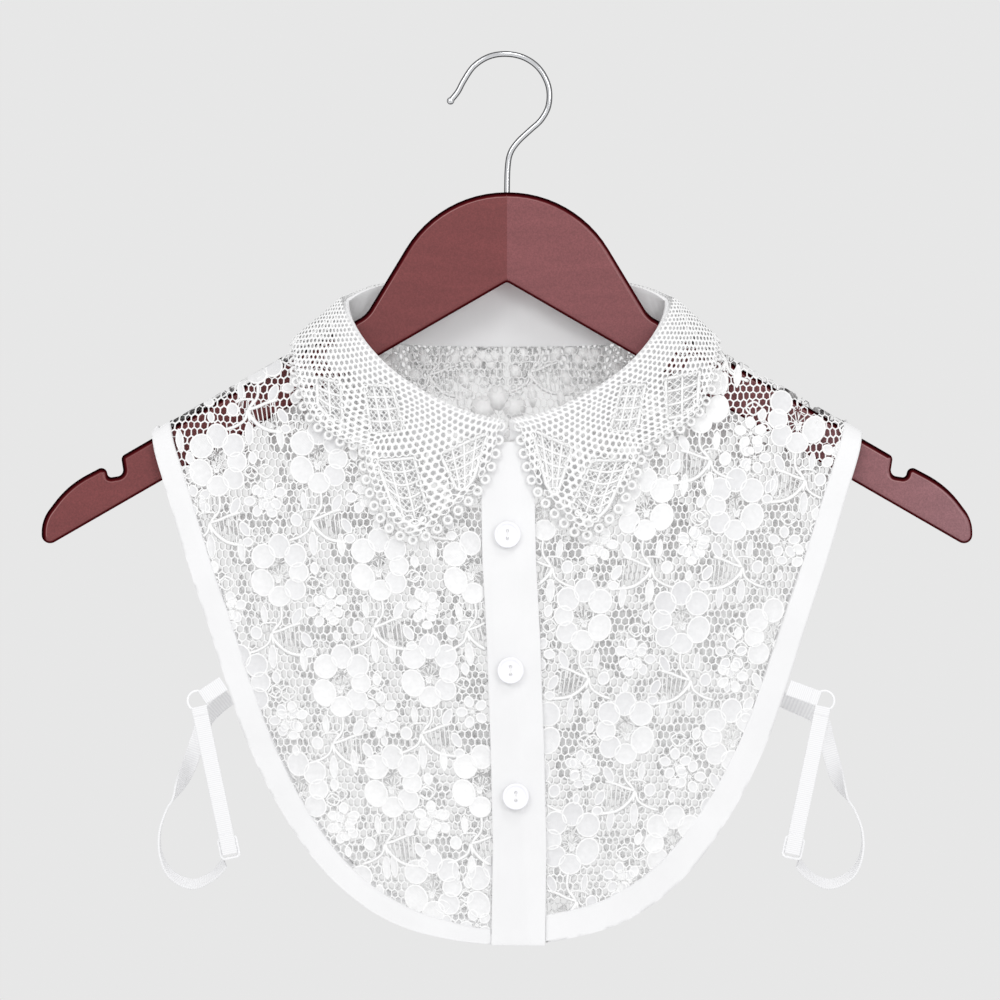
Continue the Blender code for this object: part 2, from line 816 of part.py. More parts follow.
def build_collar(group):
    """The standing band round the neck and the lobed lace that turns down over it."""

    def stand(u, v):
        side = 2 * u - 1
        sign = -1.0 if side < 0 else 1.0
        turn = max(1.0 - abs(side), COLLAR_END)
        seam = seam_loop(sign, turn)
        fold = fold_loop(sign, turn)
        upward = (fold - seam).normalized()
        return (seam + upward * SEAM * 2).lerp(fold, v)

    cloth("collar_stand", group, "white cotton", stand, 56, 2, STAND_WALL)

    def lift_at(x):
        return FALL_LIFT + FALL_FRONT_LIFT * max(0.0, 1.0 - abs(x) / 60.0)

    def rim_line(side, sign):
        """Front edge down to the tip, and outer edge from the tip round to the centre back."""
        front = []
        for row in FRONT_RIM[side]:
            y = -depth(row.x, row.z, FRONT_SWELL, lift_at(row.x))
            front.append(Vector((row.x, y, row.z)))
        side_x = sign * (abs(FRONT_RIM[side][-1].x) + 0.6)
        over = Vector((side_x, 0.0, shoulder_z(side_x, FALL_LIFT + FALL_OVER)))
        back = []
        for row in BACK_RIM:
            back.append(Vector((sign * row.x, depth(row.x, row.z, BACK_SWELL, FALL_LIFT), row.z)))
        line = curve_through(front + [over] + back, RIM_STEPS)
        tip = RIM_TIP_ROW * RIM_STEPS
        shoulder = len(front) * RIM_STEPS
        return line[: tip + 1], line[tip:], line_length(line[tip : shoulder + 1]) / line_length(line[tip:])

    def picot_reach(line, share, centre):
        """Moves a point of the edge out by the reach of the edge rings, in the cloth's own plane."""
        step = 0.01
        point = point_along(line, share)
        along = point_along(line, share + step) - point_along(line, share - step)
        outward = point - centre
        outward -= along * (outward.dot(along) / max(along.length_squared, 1e-9))
        return point + outward.normalized() * PICOT_REACH

    def half_fall(side, sign):
        front_edge, outer_edge, at_shoulder = rim_line(side, sign)

        def fold_edge(u):
            """The fold reaches the shoulder at the same share as the rim does."""
            if u < at_shoulder:
                turn = SHOULDER_TURN * u / at_shoulder
            else:
                turn = SHOULDER_TURN + (1.0 - SHOULDER_TURN) * (u - at_shoulder) / (1.0 - at_shoulder)
            fold = fold_loop(sign, max(turn, COLLAR_END))
            half_depth = FOLD_FRONT_Y if fold.y < 0 else FOLD_BACK_Y
            outward = Vector((fold.x / FOLD_X**2, fold.y / half_depth**2, 0.0)).normalized()
            return fold + outward * FALL_START + Vector((0.0, 0.0, 0.5))

        def rim(u):
            centre = fold_edge(0.12 + 0.88 * u)
            return picot_reach(outer_edge, u, centre)

        def front_side(v):
            share = 1 - v
            line = [fold_edge(0.0)] + front_edge[1:-1] + [rim(0.0)]
            return point_along(line, share)

        def back_side(v):
            return rim(1.0).lerp(fold_edge(1.0), v)

        patch = four_sided(rim, fold_edge, front_side, back_side, FALL_FADE)

        def place(u, v):
            point = patch(u, v) + Vector((0.0, 0.0, FALL_CROWN * math.sin(math.pi * v)))
            swell = FRONT_SWELL if point.y < 0 else BACK_SWELL
            lift = lift_at(point.x) if point.y < 0 else FALL_LIFT
            least = depth(point.x, point.z, swell, lift)
            if abs(point.y) < least:
                point.y = math.copysign(least, point.y)
            return point

        return place

    left = half_fall("left", -1.0)
    right = half_fall("right", 1.0)

    def fall(u, v):
        side = 2 * u - 1
        return left(1 + side, v) if side < 0 else right(1 - side, v)

    cloth("collar_fall", group, "guipure lace", fall, 76, 7, FALL_WALL)


# Fastenings


def build_buttons(group, cutters):
    for button in BUTTONS:
        reach = BUTTON_DIAMETER / 2
        faces = [
            on_front(button.x + step_x * reach, button.z + step_z * reach, PLACKET_PROUD + SEAM).y
            for step_x in (-1, 0, 1)
            for step_z in (-1, 0, 1)
        ]
        centre = Vector((button.x, min(faces) - BUTTON_THICKNESS / 2, button.z))
        data = rod_data(centre, "Y", BUTTON_DIAMETER / 2, BUTTON_THICKNESS, 28)
        mesh = bpy.data.meshes.new(button.name)
        data.to_mesh(mesh)
        data.free()
        item = add_object(button.name, mesh, group, "white resin")
        rim = item.modifiers.new("rim", "BEVEL")
        rim.width = BUTTON_ROUND * MM
        rim.segments = 2
        rim.limit_method = "ANGLE"
        for sign in (-1, 1):
            place = centre + Vector((0.0, 0.0, sign * BUTTON_HOLE_PITCH / 2))
            drill = rod_data(place, "Y", BUTTON_HOLE / 2, BUTTON_THICKNESS * 3, 10)
            add_boolean(item, hidden_cutter(f"{button.name}_drill", drill, cutters), "DIFFERENCE")


def tape(name, group, rows, wall=ELASTIC_WALL, steps=3):
    """A flat tape along rows of x, y, z and turn, all in one smooth line."""
    line = curve_through([(row.x, row.y, row.z) for row in rows], steps)
    turns = curve_through([(row.turn, 0.0, 0.0) for row in rows], steps)
    count = len(line) - 1

    def place(u, v):
        index = round(u * count)
        before = line[max(index - 1, 0)]
        after = line[min(index + 1, count)]
        along = (after - before).normalized()
        across = along.cross(Vector((0.0, 1.0, 0.0))).normalized()
        across.rotate(Matrix.Rotation(math.radians(turns[index].x), 3, along))
        return line[index] + across * ((v - 0.5) * ELASTIC_WIDTH)

    return cloth(name, group, "white elastic", place, count, 1, wall, 0.0)


def rounded_box_loop(centre, width, height, radius, turn):
    """A rounded rectangle in the front plane, turned about its middle."""
    corners = []
    for x, z in ((-1, -1), (1, -1), (1, 1), (-1, 1)):
        spoke = Vector((x * width / 2, z * height / 2))
        spoke.rotate(Matrix.Rotation(turn, 2))
        corners.append(Corner(centre.x + spoke.x, centre.z + spoke.y, radius))
    return rounded_loop(corners, 3)


def build_straps(group):
    """On each side: a tab with its ring, a doubled strap, a slider and a loop to the back."""
    for side, where in STRAP_SIDES.items():
        sign = where.sign
        edge_x = sign * half_width_at(where.tab_z)
        y = -depth(edge_x, where.tab_z, FRONT_SWELL)
        ring = Vector((where.ring_x, y, where.ring_z))
        root = Vector((edge_x + sign * where.tab_clear, y, where.tab_z))
        toward = (root - ring).normalized()
        reach = RING_DIAMETER / 2 + SEAM
        tab_end = ring + toward * reach
        middle = root.lerp(tab_end, 0.5)
        rows = [Tape(*point, 0.0) for point in (root, middle, tab_end)]
        tape(f"tab_{side}", group, rows, TAB_WALL, 1)

        bpy.ops.mesh.primitive_torus_add(
            major_segments=20,
            minor_segments=6,
            major_radius=(RING_DIAMETER - RING_WIRE) / 2 * MM,
            minor_radius=RING_WIRE / 2 * MM,
            location=ring * MM,
            rotation=(math.radians(90.0), 0.0, 0.0),
        )
        torus = bpy.context.object
        torus.name = f"ring_{side}"
        torus.data.materials.append(finish_material("white coated metal"))
        for owner in list(torus.users_collection):
            owner.objects.unlink(torus)
        group.objects.link(torus)

        slider = Vector((where.slider_x, y, where.slider_z))
        down = (slider - ring).normalized()
        start = ring + down * reach
        end = slider - down * (SLIDER_HEIGHT / 2 + SEAM)
        rows = [Tape(*start.lerp(end, step / 4), 0.0) for step in range(5)]
        tape(f"strap_front_{side}", group, rows, DOUBLED_WALL, 1)

        turn = math.atan2(down.x, -down.z)
        loops = [rounded_box_loop(slider, SLIDER_WIDTH, SLIDER_HEIGHT, SLIDER_ROUND, turn)]
        window_width = SLIDER_WIDTH - 2 * SLIDER_WIRE
        window = (SLIDER_HEIGHT - 3 * SLIDER_WIRE) / 2
        for step in (-1, 1):
            offset = Vector((-down.x, 0.0, -down.z)) * (step * (window + SLIDER_WIRE) / 2)
            middle = slider + offset
            loops.append(rounded_box_loop(middle, window_width, window, WINDOW_ROUND, turn))
        frame = flat_piece(f"slider_{side}", group, "white coated metal", loops, SLIDER_WALL)
        frame.location.y = y * MM

        back_x = sign * (half_width_at(where.back_z) + where.back_clear)
        back_y = depth(back_x, where.back_z, BACK_SWELL)
        rows = list(LOOP_LINES[side]) + [Tape(back_x, back_y, where.back_z, 0.0)]
        tape(f"strap_loop_{side}", group, rows)


def half_width_at(z):
    """Half width of the front's outline at a height."""
    return read_rows(OUTLINE, "z", "half_width", z)


def main():
    clear_scene()
    group = new_collection("lace_collar")
    cutters = new_collection("cutters")
    build_hanger(group, cutters)
    for side, sign in (("left", -1.0), ("right", 1.0)):
        front_half(side, sign, group)
    build_back(group)
    build_plackets(group)
    build_collar(group)
    build_buttons(group, cutters)
    build_straps(group)


main()
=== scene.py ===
"""Lace collar on a wooden hanger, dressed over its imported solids.

The front faces -Y and +Z is up. "Left" is the side at -X, on the left of a front view.
Sizes are in millimetres, and MM turns them to Blender's metres where a mesh is made.
"""

import logging
import math
from bisect import bisect_left
from collections.abc import Callable, Iterable, Sequence
from dataclasses import dataclass, field
from enum import Enum
from typing import NamedTuple

import bmesh
import bpy
from mathutils import Matrix, Vector
from mathutils.bvhtree import BVHTree


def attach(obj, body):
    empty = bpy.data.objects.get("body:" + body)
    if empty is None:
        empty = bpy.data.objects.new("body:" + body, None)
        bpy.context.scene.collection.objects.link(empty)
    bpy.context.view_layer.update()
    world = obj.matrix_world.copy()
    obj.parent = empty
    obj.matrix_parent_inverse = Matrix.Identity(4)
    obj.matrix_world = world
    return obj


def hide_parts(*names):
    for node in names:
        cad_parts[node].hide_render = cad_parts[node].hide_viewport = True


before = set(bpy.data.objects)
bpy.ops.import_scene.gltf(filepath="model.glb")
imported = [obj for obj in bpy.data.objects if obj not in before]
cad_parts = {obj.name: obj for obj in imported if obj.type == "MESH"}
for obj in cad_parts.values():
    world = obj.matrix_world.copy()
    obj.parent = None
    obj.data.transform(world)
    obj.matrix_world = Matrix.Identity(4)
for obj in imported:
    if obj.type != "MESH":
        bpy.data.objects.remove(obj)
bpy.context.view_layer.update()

MM = 0.001
BODY = "root"
LOG = logging.getLogger("lace_collar")

Lay = Callable[[float, float, float], Vector]
Line = list[Vector]
Flat = tuple[float, float]


class Side(Enum):
    """The two sides of the garment, with the sign of their x."""

    LEFT = -1.0
    RIGHT = 1.0

    @property
    def word(self) -> str:
        """The side's name as it stands in node names."""
        return self.name.lower()


# Measuring helpers


def clamp(value: float, low: float = 0.0, high: float = 1.0) -> float:
    """The value held between two limits."""
    return max(low, min(high, value))


def ease(value: float) -> float:
    """A smooth step from 0 to 1."""
    value = clamp(value)
    return value * value * (3.0 - 2.0 * value)


def wobble(seed: float) -> float:
    """A fixed uneven number from -1 to 1 for a seed, so that repeats differ a little."""
    value = math.sin(seed * 12.9898 + 4.137) * 43758.5453
    return 2.0 * (value - math.floor(value)) - 1.0


def curve_through(points: Iterable[Sequence[float]], steps: int = 8) -> Line:
    """A smooth line through points.

    Args:
        points: the points it passes.
        steps: pieces of line from one point to the next.

    Returns:
        The line's points, as a Catmull-Rom spline.
    """
    rows = [Vector(p) for p in points]
    ends = [rows[0] * 2 - rows[1]] + rows + [rows[-1] * 2 - rows[-2]]
    line = []
    for before, start, end, after in zip(ends, ends[1:], ends[2:], ends[3:]):
        for step in range(steps):
            t = step / steps
            line.append(
                0.5
                * (
                    2 * start
                    + (end - before) * t
                    + (2 * before - 5 * start + 4 * end - after) * t * t
                    + (3 * start - before - 3 * end + after) * t * t * t
                )
            )
    line.append(rows[-1])
    return line


def line_length(line: Line) -> float:
    """The length of a line of points."""
    return sum((b - a).length for a, b in zip(line, line[1:]))


def point_along(line: Line, share: float) -> Vector:
    """The point at a share of a line's length."""
    lengths = [(b - a).length for a, b in zip(line, line[1:])]
    wanted = clamp(share) * sum(lengths)
    for start, end, length in zip(line, line[1:], lengths):
        if wanted <= length:
            return start.lerp(end, wanted / length if length else 0.0)
        wanted -= length
    return line[-1].copy()


def even_points(line: Line, spacing: float) -> Line:
    """Points along a line at even distances, the ends included."""
    count = max(1, round(line_length(line) / spacing))
    lengths = [0.0]
    for a, b in zip(line, line[1:]):
        lengths.append(lengths[-1] + (b - a).length)
    points = []
    for step in range(count + 1):
        wanted = lengths[-1] * step / count
        index = min(max(bisect_left(lengths, wanted), 1), len(line) - 1)
        reach = lengths[index] - lengths[index - 1]
        share = (wanted - lengths[index - 1]) / reach if reach else 0.0
        points.append(line[index - 1].lerp(line[index], share))
    return points


def read_rows(rows: Sequence[Sequence[float]], at: float) -> float:
    """Straight-line reading of a table.

    Args:
        rows: pairs of key and value, with the keys rising or falling.
        at: the key to read at.

    Returns:
        The value there, or an end value beyond the table.
    """
    rows = sorted(rows, key=lambda row: row[0])
    if at <= rows[0][0]:
        return rows[0][1]
    for low, high in zip(rows, rows[1:]):
        if at <= high[0]:
            share = (at - low[0]) / (high[0] - low[0])
            return low[1] * (1 - share) + high[1] * share
    return rows[-1][1]


def four_sided(
    bottom: Callable[[float], Vector],
    top: Callable[[float], Vector],
    start: Callable[[float], Vector],
    end: Callable[[float], Vector],
    fade: float = 1.0,
) -> Callable[[float, float], Vector]:
    """A patch between four edges.

    Args:
        bottom: edge at v = 0, as a function of u.
        top: edge at v = 1.
        start: edge at u = 0, as a function of v.
        end: edge at u = 1.
        fade: how fast the start and end edges' own bows die out towards the middle.

    Returns:
        The patch as a function of u and v.
    """

    def place(u: float, v: float) -> Vector:
        """The patch's point at u and v."""
        start_bow = start(v) - bottom(0.0).lerp(top(0.0), v)
        end_bow = end(v) - bottom(1.0).lerp(top(1.0), v)
        return bottom(u).lerp(top(u), v) + start_bow * (1 - u) ** fade + end_bow * u**fade

    return place


# The garment's form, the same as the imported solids


@dataclass(frozen=True)
class GarmentForm:
    """How the cloth hangs over the hanger's arms, and the lines it is cut to."""

    seam: float = 0.3
    arm_top_x: float = 71.0
    arm_top_z: float = -125.5
    arm_slope: float = 0.578
    arm_wrap: float = 9.2
    cloth_rise: float = 3.5
    wrap_drop: float = 10.6
    front_swell: float = 40.0
    back_swell: float = 12.0
    swell_reach: float = 190.0
    swell_drop: float = 50.0
    hem_ease: float = 0.35
    ripple: float = 1.8
    ripple_width: float = 52.0
    neck_x: float = 84.0
    neck_front_z: float = -184.0
    neck_back_z: float = -139.0
    neck_fullness: float = 1.11
    hem_z: float = -424.0
    placket_width: float = 25.6
    shoulder_turn: float = 0.6
    band_turn: float = 0.08
    band_proud: float = 0.3
    outline: tuple[Flat, ...] = (
        (170.0, -180.4), (168.0, -191.0), (161.6, -212.0), (152.5, -242.5), (142.4, -273.0),
        (133.2, -302.0), (121.8, -333.0), (105.0, -365.0), (83.5, -393.0), (57.0, -412.6), (28.0, -421.4),
        (0.0, -424.0),
    )
    centre_line: tuple[Flat, ...] = (
        (-184.0, 0.0), (-240.0, 1.0), (-280.0, 3.1), (-332.0, 5.0), (-378.0, 6.0), (-425.0, 5.3),
    )

    def centre_x(self, z: float) -> float:
        """How far the front opening leans to the right at a height."""
        return read_rows(self.centre_line, z)

    def outline_x(self, z: float) -> float:
        """Half width of the front's outline at a height."""
        return read_rows([(row[1], row[0]) for row in self.outline], z)

    def shoulder_z(self, x: float, lift: float = 0.0) -> float:
        """Height of the cloth over the arm, raised by a lift square to the arm."""
        rise = self.cloth_rise + lift * math.hypot(1.0, self.arm_slope)
        return self.arm_top_z + rise - self.arm_slope * (abs(x) - self.arm_top_x)

    def depth(self, x: float, z: float, swell: float, lift: float = 0.0) -> float:
        """Distance of the cloth's outer face from the hanger's middle plane.

        Args:
            x: across.
            z: height.
            swell: how far the body stands out at most.
            lift: how far above the cloth a second layer lies.

        Returns:
            The distance along Y, always positive.
        """
        drop = self.shoulder_z(x, lift) - z
        if drop <= 0:
            return 0.0
        over = min(drop / (self.wrap_drop + lift), 1.0)
        wrap = math.sqrt(1.0 - (1.0 - over) ** 2)
        across = max(0.0, 1.0 - (x / self.swell_reach) ** 2)
        down = 1.0 - math.exp(-drop / self.swell_drop)
        lower = 1.0 - self.hem_ease * ease((self.neck_front_z - z) / (self.neck_front_z - self.hem_z))
        wave = math.sin(2 * math.pi * x / self.ripple_width + math.sin(z / 60.0))
        ripple = self.ripple * ease(drop / 200.0) * wave
        return wrap * (self.arm_wrap + lift + swell * across * down * lower + ripple * across)

    def raised(
        self, x: float, z: float, swell: float, facing: float, proud: float, lift: float = 0.0
    ) -> Vector:
        """A point moved square out of the cloth.

        Args:
            x: across.
            z: height, held under the shoulder line.
            swell: the front's or the back's swell.
            facing: -1 for the front and 1 for the back.
            proud: distance out of the cloth's outer face.
            lift: how far above the cloth a second layer lies.

        Returns:
            The point in millimetres.
        """
        z = min(z, self.shoulder_z(x, lift) - 0.02)
        step = 0.4
        here = self.depth(x, z, swell, lift)
        slope_x = (self.depth(x + step, z, swell, lift) - self.depth(x - step, z, swell, lift)) / (2 * step)
        slope_z = (here - self.depth(x, z - step, swell, lift)) / step
        out = Vector((-slope_x, facing, -slope_z)).normalized()
        place = Vector((x, facing * max(here, self.seam), z))
        return place + out * proud

    def front(self, x: float, z: float, proud: float = 0.0) -> Vector:
        """A point over the front's outer face."""
        return self.raised(x, z, self.front_swell, -1.0, proud)

    def back(self, x: float, z: float, proud: float = 0.0) -> Vector:
        """A point over the back's outer face."""
        return self.raised(x, z, self.back_swell, 1.0, proud)

    def flat_front(self, x: float, z: float, proud: float = 0.0) -> Vector:
        """A point of the front moved straight forward."""
        return Vector((x, -self.depth(x, z, self.front_swell) - proud, z))

    def outline_half(self, sign: float, until_x: float, narrower: float = 0.0) -> Line:
        """Outline of one half from the shoulder tip down to a given x near the centre.

        Args:
            sign: -1 for the left half and 1 for the right one.
            until_x: where the line ends.
            narrower: how much narrower the back is than the front.

        Returns:
            The line in the front plane, with y at 0.
        """
        rows = [(sign * (x - narrower * min(x / 100.0, 1.0)), 0.0, z) for x, z in self.outline]
        rows.append((-sign * 30.0, 0.0, self.outline[-2][1]))
        line = curve_through(rows)
        kept = [line[0]]
        for start, end in zip(line, line[1:]):
            if sign * end.x < sign * until_x:
                kept.append(start.lerp(end, (until_x - start.x) / (end.x - start.x)))
                break
            kept.append(end)
        return kept

    def edge_normal(self, line: Line, share: float, sign: float) -> Vector:
        """Direction across the binding, into the cloth, along an outline from shoulder to hem."""
        step = 0.004
        along = (point_along(line, share + step) - point_along(line, share - step)).normalized()
        square = Vector((-along.z, 0.0, along.x)) * (-sign)
        shoulder = Vector((-sign, 0.0, self.arm_slope)).normalized()
        upright = Vector((0.0, 0.0, 1.0))
        inward = shoulder.lerp(square, ease(share / self.band_turn))
        return inward.lerp(upright, ease(1 - (1 - share) / self.band_turn)).normalized()

    def neckline_front(self, turn: float) -> Vector:
        """Neck seam at an angle from the shoulder (0) to the centre front (90 degrees)."""
        top = self.shoulder_z(self.neck_x)
        x = self.neck_x * math.cos(turn) ** self.neck_fullness
        z = top + (self.neck_front_z - top) * math.sin(turn) ** self.neck_fullness
        return Vector((x, 0.0, z))

    def neckline_back(self, share: float) -> Vector:
        """Neck seam of the back from the centre (0) to the shoulder (1)."""
        top = self.shoulder_z(self.neck_x)
        return Vector((self.neck_x * share, 0.0, self.neck_back_z + (top - self.neck_back_z) * share**4))

    def seam_loop(self, sign: float, turn: float) -> Vector:
        """Neck seam round one side, from the centre front (0) to the centre back (1)."""
        if turn < self.shoulder_turn:
            flat = self.neckline_front(math.radians(90.0) * (1 - turn / self.shoulder_turn))
            return Vector((sign * flat.x, -self.depth(flat.x, flat.z, self.front_swell), flat.z))
        angle = math.radians(90.0) * (turn - self.shoulder_turn) / (1 - self.shoulder_turn)
        flat = self.neckline_back(math.cos(angle))
        return Vector((sign * flat.x, self.depth(flat.x, flat.z, self.back_swell), flat.z))


FORM = GarmentForm()


def shoulder_steps(share: float) -> float:
    """Even steps to near the end, then shorter ones where the cloth turns over the arm."""
    if share <= 0.78:
        return share / 0.78 * 0.94
    return 1.0 - 0.06 * ((1.0 - share) / 0.22) ** 2


# Finishes


def linear(colour: str) -> tuple[float, float, float, float]:
    """An sRGB hex colour as linear values with full opacity."""
    parts = [int(colour[i : i + 2], 16) / 255 for i in (1, 3, 5)]
    red, green, blue = (p / 12.92 if p <= 0.04045 else ((p + 0.055) / 1.055) ** 2.4 for p in parts)
    return (red, green, blue, 1.0)


def add_node(
    tree: bpy.types.NodeTree, kind: str, inputs: dict[str, object] | None = None, **settings: object
) -> bpy.types.Node:
    """Adds a node with its settings, constants and incoming links.

    Args:
        tree: the material's node tree.
        kind: Blender's name of the node type.
        inputs: input name or number to its constant, or to the output that feeds it.
        **settings: the node's own properties.

    Returns:
        The new node.
    """
    node = tree.nodes.new(kind)
    for name, value in settings.items():
        setattr(node, name, value)
    for name, value in (inputs or {}).items():
        socket = node.inputs[int(name)] if name.isdigit() else node.inputs[name]
        if isinstance(value, bpy.types.NodeSocket):
            tree.links.new(value, socket)
        else:
            socket.default_value = value
    return node


# A wave texture of scale 1 repeats after this many of its coordinate's units.
WAVE_PITCH = 0.314


@dataclass(frozen=True)
class ShaderBase:
    """The settings every finish has, and the first and last steps of its material."""

    name: str
    slot: str
    roughness: float
    ior: float = 1.5

    def start(self) -> tuple[bpy.types.Material, bpy.types.NodeTree, bpy.types.Node]:
        """A new material with its tree and its Principled shader."""
        material = bpy.data.materials.new(self.name)
        material.use_nodes = True
        tree = material.node_tree
        shader = tree.nodes["Principled BSDF"]
        shader.inputs["Roughness"].default_value = self.roughness
        shader.inputs["IOR"].default_value = self.ior
        return material, tree, shader

    def lay_on(
        self,
        tree: bpy.types.NodeTree,
        shader: bpy.types.Node,
        colour: bpy.types.NodeSocket,
        height: bpy.types.NodeSocket,
        rise: float,
        strength: float,
    ) -> None:
        """Feeds the colour and the relief to the shader.

        Args:
            tree: the material's node tree.
            shader: the Principled shader.
            colour: the colour's output.
            height: the relief from 0 to 1.
            rise: how high the relief stands, in millimetres.
            strength: how strongly it shows.
        """
        tree.links.new(colour, shader.inputs["Base Color"])
        sizes = {"Height": height, "Strength": strength, "Distance": rise * MM}
        bump = add_node(tree, "ShaderNodeBump", sizes)
        tree.links.new(bump.outputs["Normal"], shader.inputs["Normal"])


@dataclass(frozen=True)
class LaceYarn(ShaderBase):
    """Mercerised cotton lace yarn, machine stitched: white, a soft sheen, fine satin stitches."""

    cord_colour: str = "#FBFBFB"
    fill_colour: str = "#DFDFE1"
    stitch: float = 0.62
    sheen: float = 0.35

    def build(self) -> bpy.types.Material:
        """The material, which reads the piece's UV in metres and its "tone" attribute."""
        material, tree, shader = self.start()
        shader.inputs["Sheen Weight"].default_value = self.sheen
        shader.inputs["Sheen Roughness"].default_value = 0.5
        uv = add_node(tree, "ShaderNodeUVMap", uv_map="thread").outputs["UV"]
        tone = add_node(tree, "ShaderNodeAttribute", attribute_name="tone").outputs["Fac"]
        # Satin stitches lie side by side. They are drawn a little coarser than real so that they show.
        pitch = WAVE_PITCH / (self.stitch * MM)
        stitches = add_node(
            tree,
            "ShaderNodeTexWave",
            {"Vector": uv, "Scale": pitch, "Distortion": 0.6, "Detail": 1.0},
            bands_direction="DIAGONAL",
        )
        flecks = add_node(tree, "ShaderNodeTexNoise", {"Vector": uv, "Scale": 420.0, "Detail": 2.0})
        ends = {"Factor": tone, "6": linear(self.fill_colour), "7": linear(self.cord_colour)}
        shade = add_node(tree, "ShaderNodeMix", ends, data_type="RGBA").outputs[2]
        limits = {"From Min": 0.3, "From Max": 0.7, "To Min": 0.93, "To Max": 1.0}
        limits["Value"] = flecks.outputs["Fac"]
        dark = add_node(tree, "ShaderNodeMapRange", limits).outputs["Result"]
        layers = {"Factor": 1.0, "6": shade, "7": dark}
        colour = add_node(tree, "ShaderNodeMix", layers, data_type="RGBA", blend_type="MULTIPLY")
        self.lay_on(tree, shader, colour.outputs[2], stitches.outputs["Fac"], 0.12, 0.35)
        return material


@dataclass(frozen=True)
class CottonCloth(ShaderBase):
    """Bleached cotton poplin: plain weave, matt, with faint slubs."""

    colour: str = "#F1F1F2"
    shade_colour: str = "#E8E8E9"
    thread: float = 0.5

    def build(self) -> bpy.types.Material:
        """The material, which reads Object coordinates."""
        material, tree, shader = self.start()
        shader.inputs["Sheen Weight"].default_value = 0.2
        place = add_node(tree, "ShaderNodeTexCoord").outputs["Object"]
        # The weave is drawn at about twice its real pitch, or it would be too fine to show.
        thread = {"Vector": place, "Scale": WAVE_PITCH / (self.thread * MM), "Distortion": 0.4, "Detail": 1.0}
        warp, weft = (
            add_node(tree, "ShaderNodeTexWave", thread, bands_direction=way).outputs["Fac"] for way in "XZ"
        )
        weave = add_node(tree, "ShaderNodeMath", {"0": warp, "1": weft}, operation="MAXIMUM").outputs[0]
        noise = {"Vector": place, "Scale": 38.0, "Detail": 3.0}
        slubs = add_node(tree, "ShaderNodeTexNoise", noise).outputs["Fac"]
        parts = {"0": weave, "1": 0.35, "2": slubs}
        height = add_node(tree, "ShaderNodeMath", parts, operation="MULTIPLY_ADD")
        ends = {"Factor": slubs, "6": linear(self.shade_colour), "7": linear(self.colour)}
        colour = add_node(tree, "ShaderNodeMix", ends, data_type="RGBA")
        self.lay_on(tree, shader, colour.outputs[2], height.outputs[0], 0.2, 0.3)
        return material


@dataclass(frozen=True)
class RibbedElastic(ShaderBase):
    """Woven elastic tape: ribs across it with a slight gloss, and painted shade in the grooves between them.
    """

    colour: str = "#F1F1F2"
    groove_shade_colour: str = "#E6E6E8"
    rib: float = 0.95
    warp_cord: float = 1.5

    def build(self) -> bpy.types.Material:
        """The material, whose ribs follow the piece's UV in metres."""
        material, tree, shader = self.start()
        uv = add_node(tree, "ShaderNodeUVMap", uv_map="thread").outputs["UV"]
        rib_scale = {"Vector": uv, "Scale": WAVE_PITCH / (self.rib * MM), "Distortion": 0.3}
        ribs = add_node(tree, "ShaderNodeTexWave", rib_scale, bands_direction="X").outputs["Fac"]
        cord_scale = {"Vector": uv, "Scale": WAVE_PITCH / (self.warp_cord * MM)}
        cords = add_node(tree, "ShaderNodeTexWave", cord_scale, bands_direction="Y").outputs["Fac"]
        height = add_node(tree, "ShaderNodeMath", {"0": cords, "1": 0.6, "2": ribs}, operation="MULTIPLY_ADD")
        # The grooves between the ribs are painted darker, a painted shade in the recesses.
        ends = {"Factor": ribs, "6": linear(self.groove_shade_colour), "7": linear(self.colour)}
        colour = add_node(tree, "ShaderNodeMix", ends, data_type="RGBA")
        self.lay_on(tree, shader, colour.outputs[2], height.outputs[0], 0.08, 0.15)
        return material


@dataclass(frozen=True)
class CloudyCoat(ShaderBase):
    """A smooth pale solid whose colour and surface vary a little in soft clouds."""

    colour: str = "#F9F9FD"
    cloud_colour: str = "#F2F2F8"
    cloud_scale: float = 180.0
    relief: Flat = (0.05, 0.2)
    coat: float = 0.0

    def build(self) -> bpy.types.Material:
        """The material, with its clouds on Object coordinates."""
        material, tree, shader = self.start()
        if self.coat:
            shader.inputs["Coat Weight"].default_value = self.coat
            shader.inputs["Coat Roughness"].default_value = 0.15
        place = add_node(tree, "ShaderNodeTexCoord").outputs["Object"]
        clouds = {"Vector": place, "Scale": self.cloud_scale, "Detail": 2.0}
        clouds = add_node(tree, "ShaderNodeTexNoise", clouds).outputs["Fac"]
        ends = {"Factor": clouds, "6": linear(self.cloud_colour), "7": linear(self.colour)}
        colour = add_node(tree, "ShaderNodeMix", ends, data_type="RGBA")
        self.lay_on(tree, shader, colour.outputs[2], clouds, *self.relief)
        return material


